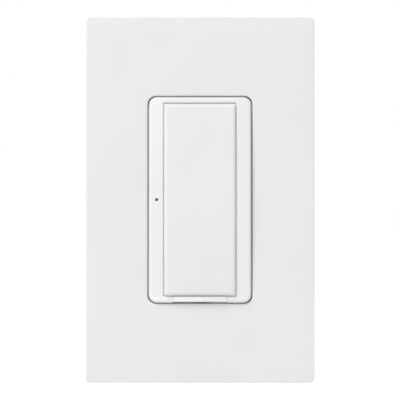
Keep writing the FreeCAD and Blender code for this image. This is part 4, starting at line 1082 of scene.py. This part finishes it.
class SWITCH_OT_springs(bpy.types.Operator):
    """Build the two bent leaves that push the paddle out"""
    bl_idname = "wall_switch.springs"
    bl_label = "Leaf springs"

    def execute(self, context):
        bm = bmesh.new()
        for low, high in solids_of("return_springs"):
            self.leaf(bm, low, high)
        piece = make_piece(bm, "leaf_springs", 40.0)
        stand_for(piece, "switch_body", "return_springs", "spring_steel")
        low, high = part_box("return_springs")
        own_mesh(piece)
        return {"FINISHED"}

    def leaf(self, bm, low, high, steps=16):
        """One leaf: a flat foot on the strap, an S bend and a narrower tip under the paddle."""
        thick = 0.00025
        foot_share, bend_share = 0.42, 0.5
        tip_step = 0.0005
        edge = 0.00008
        middle = []
        for i in range(steps + 1):
            along = i / steps
            bend = min(1.0, max(0.0, (along - foot_share) / bend_share))
            lift = (high.y - low.y - thick) * (3 * bend ** 2 - 2 * bend ** 3)
            middle.append((high.z - (high.z - low.z) * along, high.y - thick / 2 - lift))
        rows = []
        for i, (z, y) in enumerate(middle):
            z0, y0 = middle[max(i - 1, 0)]
            z1, y1 = middle[min(i + 1, steps)]
            across = Vector((0, z1 - z0, -(y1 - y0))).normalized() * (thick / 2)
            narrow = tip_step if i in (0, steps) else 0.0
            x0, x1 = low.x + narrow, high.x - narrow
            rows.append([bm.verts.new((x, y + across.y * side, z + across.z * side * 0.5)) for x, side in
                         ((x0 + edge, 1), (x1 - edge, 1), (x1, 0.4), (x1, -0.4), (x1 - edge, -1),
                          (x0 + edge, -1), (x0, -0.4), (x0, 0.4))])
        skin(bm, rows)
        bm.faces.new(rows[0][::-1])
        bm.faces.new(rows[-1])
        bmesh.ops.recalc_face_normals(bm, faces=bm.faces)


class SWITCH_OT_frame(bpy.types.Operator):
    """Soften the strap, the adapter, the housing and the clamps behind the cover"""
    bl_idname = "wall_switch.frame"
    bl_label = "Frame and housing"

    def execute(self, context):
        for node, name, width, slot in (
                ("yoke", "strap_pressing", 0.00022, "yoke_metal"),
                ("plate_adapter", "adapter_moulding", 0.0002, "adapter_plastic"),
                ("rear_housing", "housing_moulding", 0.0003, "housing_plastic"),
                ("line_terminal", "line_clamp", 0.00015, "brass"),
                ("load_terminal", "load_clamp", 0.00015, "brass"),
                ("neutral_terminal", "neutral_clamp", 0.00015, "plated_brass"),
                ("remote_terminal", "remote_clamp", 0.00015, "brass"),
                ("screw_retainers", "retainer_washers", 0.0001, "fibre")):
            stand_for(softened(node, name, width), "switch_body", node, slot)
        return {"FINISHED"}


class SWITCH_OT_electronics(bpy.types.Operator):
    """Build the wound choke, the capacitor's can, the softened cases and the legs"""
    bl_idname = "wall_switch.electronics"
    bl_label = "Electronics"

    def execute(self, context):
        s = context.scene.wall_switch.parts
        for node, name, width, slot in (
                ("relay", "relay_case", 0.0004, "relay_plastic"),
                ("film_capacitor", "film_block", 0.00045, "film_yellow"),
                ("varistor", "dipped_disc", 0.0006, "varistor_blue"),
                ("tact_switch", "push_switch_body", 0.0002, "dark_plastic"),
                ("board_header", "header_strip", 0.00015, "dark_plastic")):
            stand_for(softened(node, name, width, 3), "switch_body", node, slot)
        self.choke(s)
        self.can(s)
        self.shielded_module()
        self.chip(s)
        return {"FINISHED"}

    def stand(self, node):
        """The middle of the part's foot on the board behind it, its radius and its height."""
        low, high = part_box(node)
        foot = Vector(((low.x + high.x) / 2, high.y, (low.z + high.z) / 2))
        return foot, (high.x - low.x) / 2, high.y - low.y

    def choke(self, s):
        """A bobbin with two flanges and one layer of wire between them."""
        foot, radius, height = self.stand("choke")
        waist = radius * 0.7
        flange, rim = 0.0018, 0.0002
        foot_half = [(LEAST_RADIUS, 0.0), (radius - rim, 0.0), (radius, -rim), (radius, rim - flange),
                     (radius - rim, -flange), (waist, -flange)]
        bm = bmesh.new()
        turned(bm, foot_half + [(r, -height - y) for r, y in foot_half[::-1]], 40, Matrix.Translation(foot))
        core = finish_mesh(bm, "choke_core")
        room = height - 2 * flange
        turns = int(room / s.wire)
        middle = waist + s.wire * 1.5
        inside = waist - rim / 2
        profile = [(inside, -flange)]
        for i in range(turns):
            for step in range(5):
                a = math.pi * step / 4
                profile.append((middle + s.wire / 2 * math.sin(a),
                                -flange - room / turns * (i + 0.5 - 0.49 * math.cos(a))))
        profile.append((inside, flange - height))
        bm = bmesh.new()
        turned(bm, profile, 40, Matrix.Translation(foot), hollow=True)
        coil = finish_mesh(bm, "choke_coil", 60.0)
        piece = make_piece(join_meshes([core, coil]), "wound_choke", 40.0)
        stand_for(piece, "switch_body", "choke", "ferrite")
        second_finish(piece, len(core.polygons), finish("enamelled_copper"))

    def can(self, s):
        """The sleeved can: a rolled groove near its foot, a rounded lip and a scored top."""
        foot, radius, height = self.stand("bulk_capacitor")
        lip, groove, groove_deep, groove_wide = 0.0006, 0.0018, 0.00035, 0.0012
        edge, sunk = 0.0003, 0.00015
        profile = [(LEAST_RADIUS, -edge), (radius * 0.8, -edge), (radius * 0.86, 0.0), (radius - edge, 0.0),
                   (radius, -edge), (radius, -groove)]
        for i in range(1, 7):
            profile.append((radius - groove_deep * math.sin(math.pi * i / 6), -groove - groove_wide * i / 6))
        for i in range(6):
            a = math.pi / 2 * i / 5
            profile.append((radius - lip * (1 - math.cos(a)), lip - height - lip * math.sin(a)))
        profile += [(radius - lip - 0.0004, -height), (radius - lip - 0.0005, sunk - height),
                    (LEAST_RADIUS, sunk - height)]
        bm = bmesh.new()
        turned(bm, profile, 48, Matrix.Translation(foot))
        body = finish_mesh(bm, "can_body", 38.0)
        reach = radius - lip - 0.0009
        top = foot.y - height + sunk
        bm = bmesh.new()
        for x, z in ((s.score / 2, reach), (reach, s.score / 2)):
            add_box(bm, foot.x - x, foot.x + x, top - PAST, top + sunk, foot.z - z, foot.z + z)
        mesh = cut_away(body, finish_mesh(bm, "score_cutter"), "capacitor_can")
        stand_for(link_mesh("capacitor_can", mesh), "switch_body", "bulk_capacitor", "sleeve")

    def shielded_module(self):
        """The radio's tin shield with a recessed lid and a hole near each corner."""
        piece = softened("radio_module", "shielded_module", 0.0002)
        low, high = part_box("radio_module")
        edge, recess, corner, hole, hole_deep = 0.0013, 0.0001, 0.0012, 0.0004, 0.0009
        x0, x1, z0, z1 = low.x + edge, high.x - edge, low.z + edge, high.z - edge
        bm = bmesh.new()
        add_box(bm, x0, x1, low.y - PAST, low.y + recess, z0, z1)
        shape = cut_away(piece.data, finish_mesh(bm, "shield_recess"), "shield_body")
        bm = bmesh.new()
        for x in (x0 + corner, x1 - corner):
            for z in (z0 + corner, z1 - corner):
                add_rod(bm, Vector((x, low.y, z)), (0, 1, 0), hole, hole_deep, segments=20)
        shape = cut_away(shape, finish_mesh(bm, "shield_holes"), "shield_body")
        drop(piece)
        stand_for(link_mesh("shielded_module", shape), "switch_body", "radio_module", "can_metal")

    def chip(self, s):
        """The controller's case with a row of legs along each side."""
        case = softened("microcontroller", "chip_case", 0.00012)
        low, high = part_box("microcontroller")
        half_thick, end, foot_rise = 0.0001, 0.0012, 0.00012
        bm = bmesh.new()
        add_box(bm, 0.0, s.leg_reach, -half_thick, half_thick, -s.leg_width / 2, s.leg_width / 2)
        leg = finish_mesh(bm, "chip_leg")
        count = int((high.z - low.z - end) / s.leg_pitch)
        start = (low.z + high.z) / 2 - s.leg_pitch * (count - 1) / 2
        places = []
        for x, turn in ((high.x - half_thick, 0.0), (low.x + half_thick, math.pi)):
            for i in range(count):
                places.append((Vector((x, low.y + foot_rise, start + i * s.leg_pitch)), (0.0, 0.0, turn)))
        legs = copies(leg, places, finish("tin_can"), "chip_legs")
        body = case.data.copy()
        drop(case)
        chip = make_piece(join_meshes([body, legs]), "chip_with_legs")
        stand_for(chip, "switch_body", "microcontroller", "dark_plastic")
        second_finish(chip, len(body.polygons), finish("tin_can"))


class SWITCH_OT_screws(bpy.types.Operator):
    """Build every screw with its thread and driver slot"""
    bl_idname = "wall_switch.screws"
    bl_label = "Screws"

    def execute(self, context):
        s = context.scene.wall_switch.screws
        # Node, head, height of the head, thread's radius, where the head faces, sides of the head
        for node, head, head_height, radius, facing, sides in (
                ("adapter_screws", self.countersunk(0.0026, 0.0017, 0.0012), 0.0012, 0.0017, "front", 0),
                ("box_screws", self.domed(0.0033, 0.0018), 0.0018, 0.00175, "front", 0),
                ("housing_screws", self.domed(0.0023, 0.0016), 0.0016, 0.00125, "back", 0),
                ("terminal_screws", self.domed(0.0037, 0.0018), 0.0018, 0.0017, "side", 0),
                ("ground_screw", self.domed(0.0034, 0.002), 0.002, 0.00175, "back", 6)):
            boxes = solids_of(node)
            low, high = boxes[0]
            reach = high.x - low.x if facing == "side" else high.y - low.y
            neck = (0.00145, 0.0045) if node == "box_screws" else None
            shape = self.screw(s, head, head_height, radius, reach, neck, sides)
            self.place(s, node, shape, boxes, facing)
        return {"FINISHED"}

    def domed(self, radius, height):
        """A low pan head: rounded rim and slightly raised middle, from the top's middle to the rim below."""
        rim = height * 0.42
        edge = 0.00008
        points = [(LEAST_RADIUS, 0.0), (radius * 0.45, height * 0.02), (radius * 0.72, height * 0.07)]
        for i in range(5):
            a = math.pi / 2 * i / 4
            points.append((radius - rim * 0.5 * (1 - math.sin(a)), height * 0.1 + rim * (1 - math.cos(a))))
        return points + [(radius, height - edge), (radius - edge, height)]

    def countersunk(self, radius, shank, height, edge=0.0001):
        return [(LEAST_RADIUS, 0.0), (radius - edge, 0.0), (radius, edge), (shank, height)]

    def screw(self, s, head, head_height, radius, reach, neck=None, sides=0, rows_per_turn=6):
        """A screw along +Y whose head faces -Y at the origin; the shank has a real helical thread.

        neck is the radius and end of a plain stretch under the head, and sides makes the head a prism.
        """
        root = radius - s.depth
        start = head_height
        segments = s.segments
        profile = list(head)
        if neck:
            profile += [(neck[0], start), (neck[0], neck[1] - 0.0003)]
            start = neck[1]
        tip, point = 0.0006, 0.0004
        count = int((reach - tip - start) / s.pitch * rows_per_turn)
        rows = [[(r, y)] * segments for r, y in profile]
        for step in range(count + 1):
            y = start + step * s.pitch / rows_per_turn
            fade = min(1.0, step / rows_per_turn, (count - step) / rows_per_turn + 0.25)
            row = []
            for i in range(segments):
                phase = (step / rows_per_turn - i / segments) % 1.0
                crest = min(1.0, abs(2 * phase - 1) * 1.3)
                row.append((root + s.depth * crest * fade, y))
            rows.append(row)
        rows.append([(root * 0.96, reach - point)] * segments)
        rows.append([(root * 0.62, reach)] * segments)
        bm = bmesh.new()
        rings = []
        for number, row in enumerate(rows):
            rings.append([])
            for i, (r, y) in enumerate(row):
                a = 2 * math.pi * i / segments
                if sides and number < len(head):
                    wedge = (a % (2 * math.pi / sides)) - math.pi / sides
                    r = r * math.cos(math.pi / sides) / math.cos(wedge)
                rings[-1].append(bm.verts.new((r * math.cos(a), y, r * math.sin(a))))
        skin(bm, rings, reverse=True)
        bm.faces.new(rings[0])
        bm.faces.new(rings[-1][::-1])
        body = finish_mesh(bm, "screw_body", 35.0)
        bm = bmesh.new()
        half = max(r for r, y in head) + PAST
        add_box(bm, -half, half, -PAST, s.slot_depth, -s.slot_width / 2, s.slot_width / 2)
        return cut_away(body, finish_mesh(bm, "slot_cutter"), "screw_slotted")

    def place(self, s, node, shape, boxes, facing):
        """One copy in each box, its head's top on the side that it faces, each turned a bit further."""
        places = []
        for number, (low, high) in enumerate(boxes):
            point = (low + high) / 2
            flip, side = 0.0, 0.0
            if facing == "front":
                point.y = low.y
            elif facing == "back":
                point.y = high.y
                flip = math.pi
            else:
                left = low.x < 0
                point.x = low.x if left else high.x
                side = -math.pi / 2 if left else math.pi / 2
            places.append((point, (flip, number * s.slot_turn, side)))
        slot = "green_screw" if node == "ground_screw" else "screw_steel"
        name = node + "_threaded"
        piece = link_mesh(name, copies(shape, places, finish(FINISH_OF_SLOT[slot]), name, 35.0))
        stand_for(piece, "switch_body", node, slot)


class SWITCH_OT_stage(bpy.types.Operator):
    """Set the floor, sky, lamps and camera"""
    bl_idname = "wall_switch.stage"
    bl_label = "Studio"

    def execute(self, context):
        scene = context.scene
        s = scene.wall_switch.studio
        self.floor(s)
        self.sky(scene, s)
        # Name, place, width and power
        for name, place, size, strength in (
                ("key_lamp", (-1.38, -1.38, 2.28), 1.04, s.key),
                ("rim_lamp", (-1.16, -0.84, 2.58), 0.60, s.rim),
                ("side_lamp", (-1.42, -0.45, 0.15), 0.90, s.side),
                ("right_lamp", (1.50, -0.30, 0.25), 1.20, s.right),
                ("front_card", (-0.20, -1.0, 0.22), 0.30, s.card)):
            self.aim(self.lamp(name, place, size, strength), Vector((0, 0, 0)))
        camera_data = bpy.data.cameras.new("camera")
        camera_data.lens = s.lens
        camera_data.sensor_width = 36.0
        camera_data.clip_start = 0.01
        camera = bpy.data.objects.new("camera", camera_data)
        scene.collection.objects.link(camera)
        camera.location = (0, -s.distance, -s.lower)
        self.aim(camera, Vector((0, 0, 0)))
        scene.camera = camera
        scene.view_settings.view_transform = "Standard"
        return {"FINISHED"}

    def aim(self, thing, target):
        thing.rotation_euler = (target - thing.location).to_track_quat("-Z", "Y").to_euler()

    def lamp(self, name, place, size, strength):
        data = bpy.data.lights.new(name, "AREA")
        data.shape = "SQUARE"
        data.size = size
        data.energy = strength
        lamp = bpy.data.objects.new(name, data)
        bpy.context.scene.collection.objects.link(lamp)
        lamp.location = place
        return lamp

    def background_rays(self, tree):
        """1 where a camera, mirror or clear-glass ray looks, else 0."""
        rays = tree.nodes.new("ShaderNodeLightPath")
        seen = math_node(tree, "MAXIMUM", rays.outputs["Is Camera Ray"], rays.outputs["Is Glossy Ray"])
        return math_node(tree, "MAXIMUM", seen, rays.outputs["Is Transmission Ray"])

    def floor(self, s):
        """A wide pale floor that the camera, mirrors and clear parts see as nearly white."""
        z = cad_box[0][2] - s.floor_drop
        half_width, base, glow = 6.0, 0.92, 0.55
        bm = bmesh.new()
        bmesh.ops.create_grid(bm, x_segments=1, y_segments=1, size=half_width,
                              matrix=Matrix.Translation((0, 0, z)))
        floor = make_piece(bm, "floor")
        tree, shader = new_material("pale_floor")
        shader.inputs["Base Color"].default_value = (base, base, base, 1)
        shader.inputs["Roughness"].default_value = 0.8
        tree.links.new(math_node(tree, "MULTIPLY", self.background_rays(tree), glow),
                       shader.inputs["Emission Strength"])
        shader.inputs["Emission Color"].default_value = (1, 1, 1, 1)
        floor.data.materials.append(finish("pale_floor"))

    def sky(self, scene, s):
        world = bpy.data.worlds.new("studio_sky")
        scene.world = world
        world.use_nodes = True
        tree = world.node_tree
        sky = tree.nodes["Background"]
        sky.inputs["Color"].default_value = (1, 1, 1, 1)
        strength = spread(tree, self.background_rays(tree), 0.0, 1.0, s.ambient, 1.0)
        tree.links.new(strength, sky.inputs["Strength"])


class SWITCH_PT_panel(bpy.types.Panel):
    """Lists the wall switch's pieces and sizes"""
    bl_idname = "SWITCH_PT_panel"
    bl_label = "Wall switch"
    bl_space_type = "VIEW_3D"
    bl_region_type = "UI"
    bl_category = "Wall switch"

    def draw(self, context):
        settings = context.scene.wall_switch
        for label, values in (("Plate", settings.plate), ("Control face", settings.control),
                              ("Screws", settings.screws), ("Parts", settings.parts),
                              ("Finish", settings.finish), ("Studio", settings.studio)):
            box = self.layout.box()
            box.label(text=label)
            for key in values.__annotations__:
                box.prop(values, key)
        for operator in OPERATORS:
            self.layout.operator(operator.bl_idname)


OPERATORS = (SWITCH_OT_finishes, SWITCH_OT_cover_plate, SWITCH_OT_bezel, SWITCH_OT_paddle,
             SWITCH_OT_service_tab, SWITCH_OT_springs, SWITCH_OT_frame, SWITCH_OT_electronics,
             SWITCH_OT_screws, SWITCH_OT_stage)
CLASSES = (PlateSizes, ControlSizes, ScrewSizes, PartSizes, Finish, Studio,
           SwitchSettings) + OPERATORS + (SWITCH_PT_panel,)


def register():
    for item in CLASSES:
        bpy.utils.register_class(item)
    bpy.types.Scene.wall_switch = PointerProperty(type=SwitchSettings)


def unregister():
    del bpy.types.Scene.wall_switch
    for item in reversed(CLASSES):
        bpy.utils.unregister_class(item)


def main():
    register()
    bpy.ops.wall_switch.finishes()
    bpy.ops.wall_switch.cover_plate()
    bpy.ops.wall_switch.bezel()
    bpy.ops.wall_switch.paddle()
    bpy.ops.wall_switch.service_tab()
    bpy.ops.wall_switch.springs()
    bpy.ops.wall_switch.frame()
    bpy.ops.wall_switch.electronics()
    bpy.ops.wall_switch.screws()
    bpy.ops.wall_switch.stage()


if __name__ == "__main__":
    main()
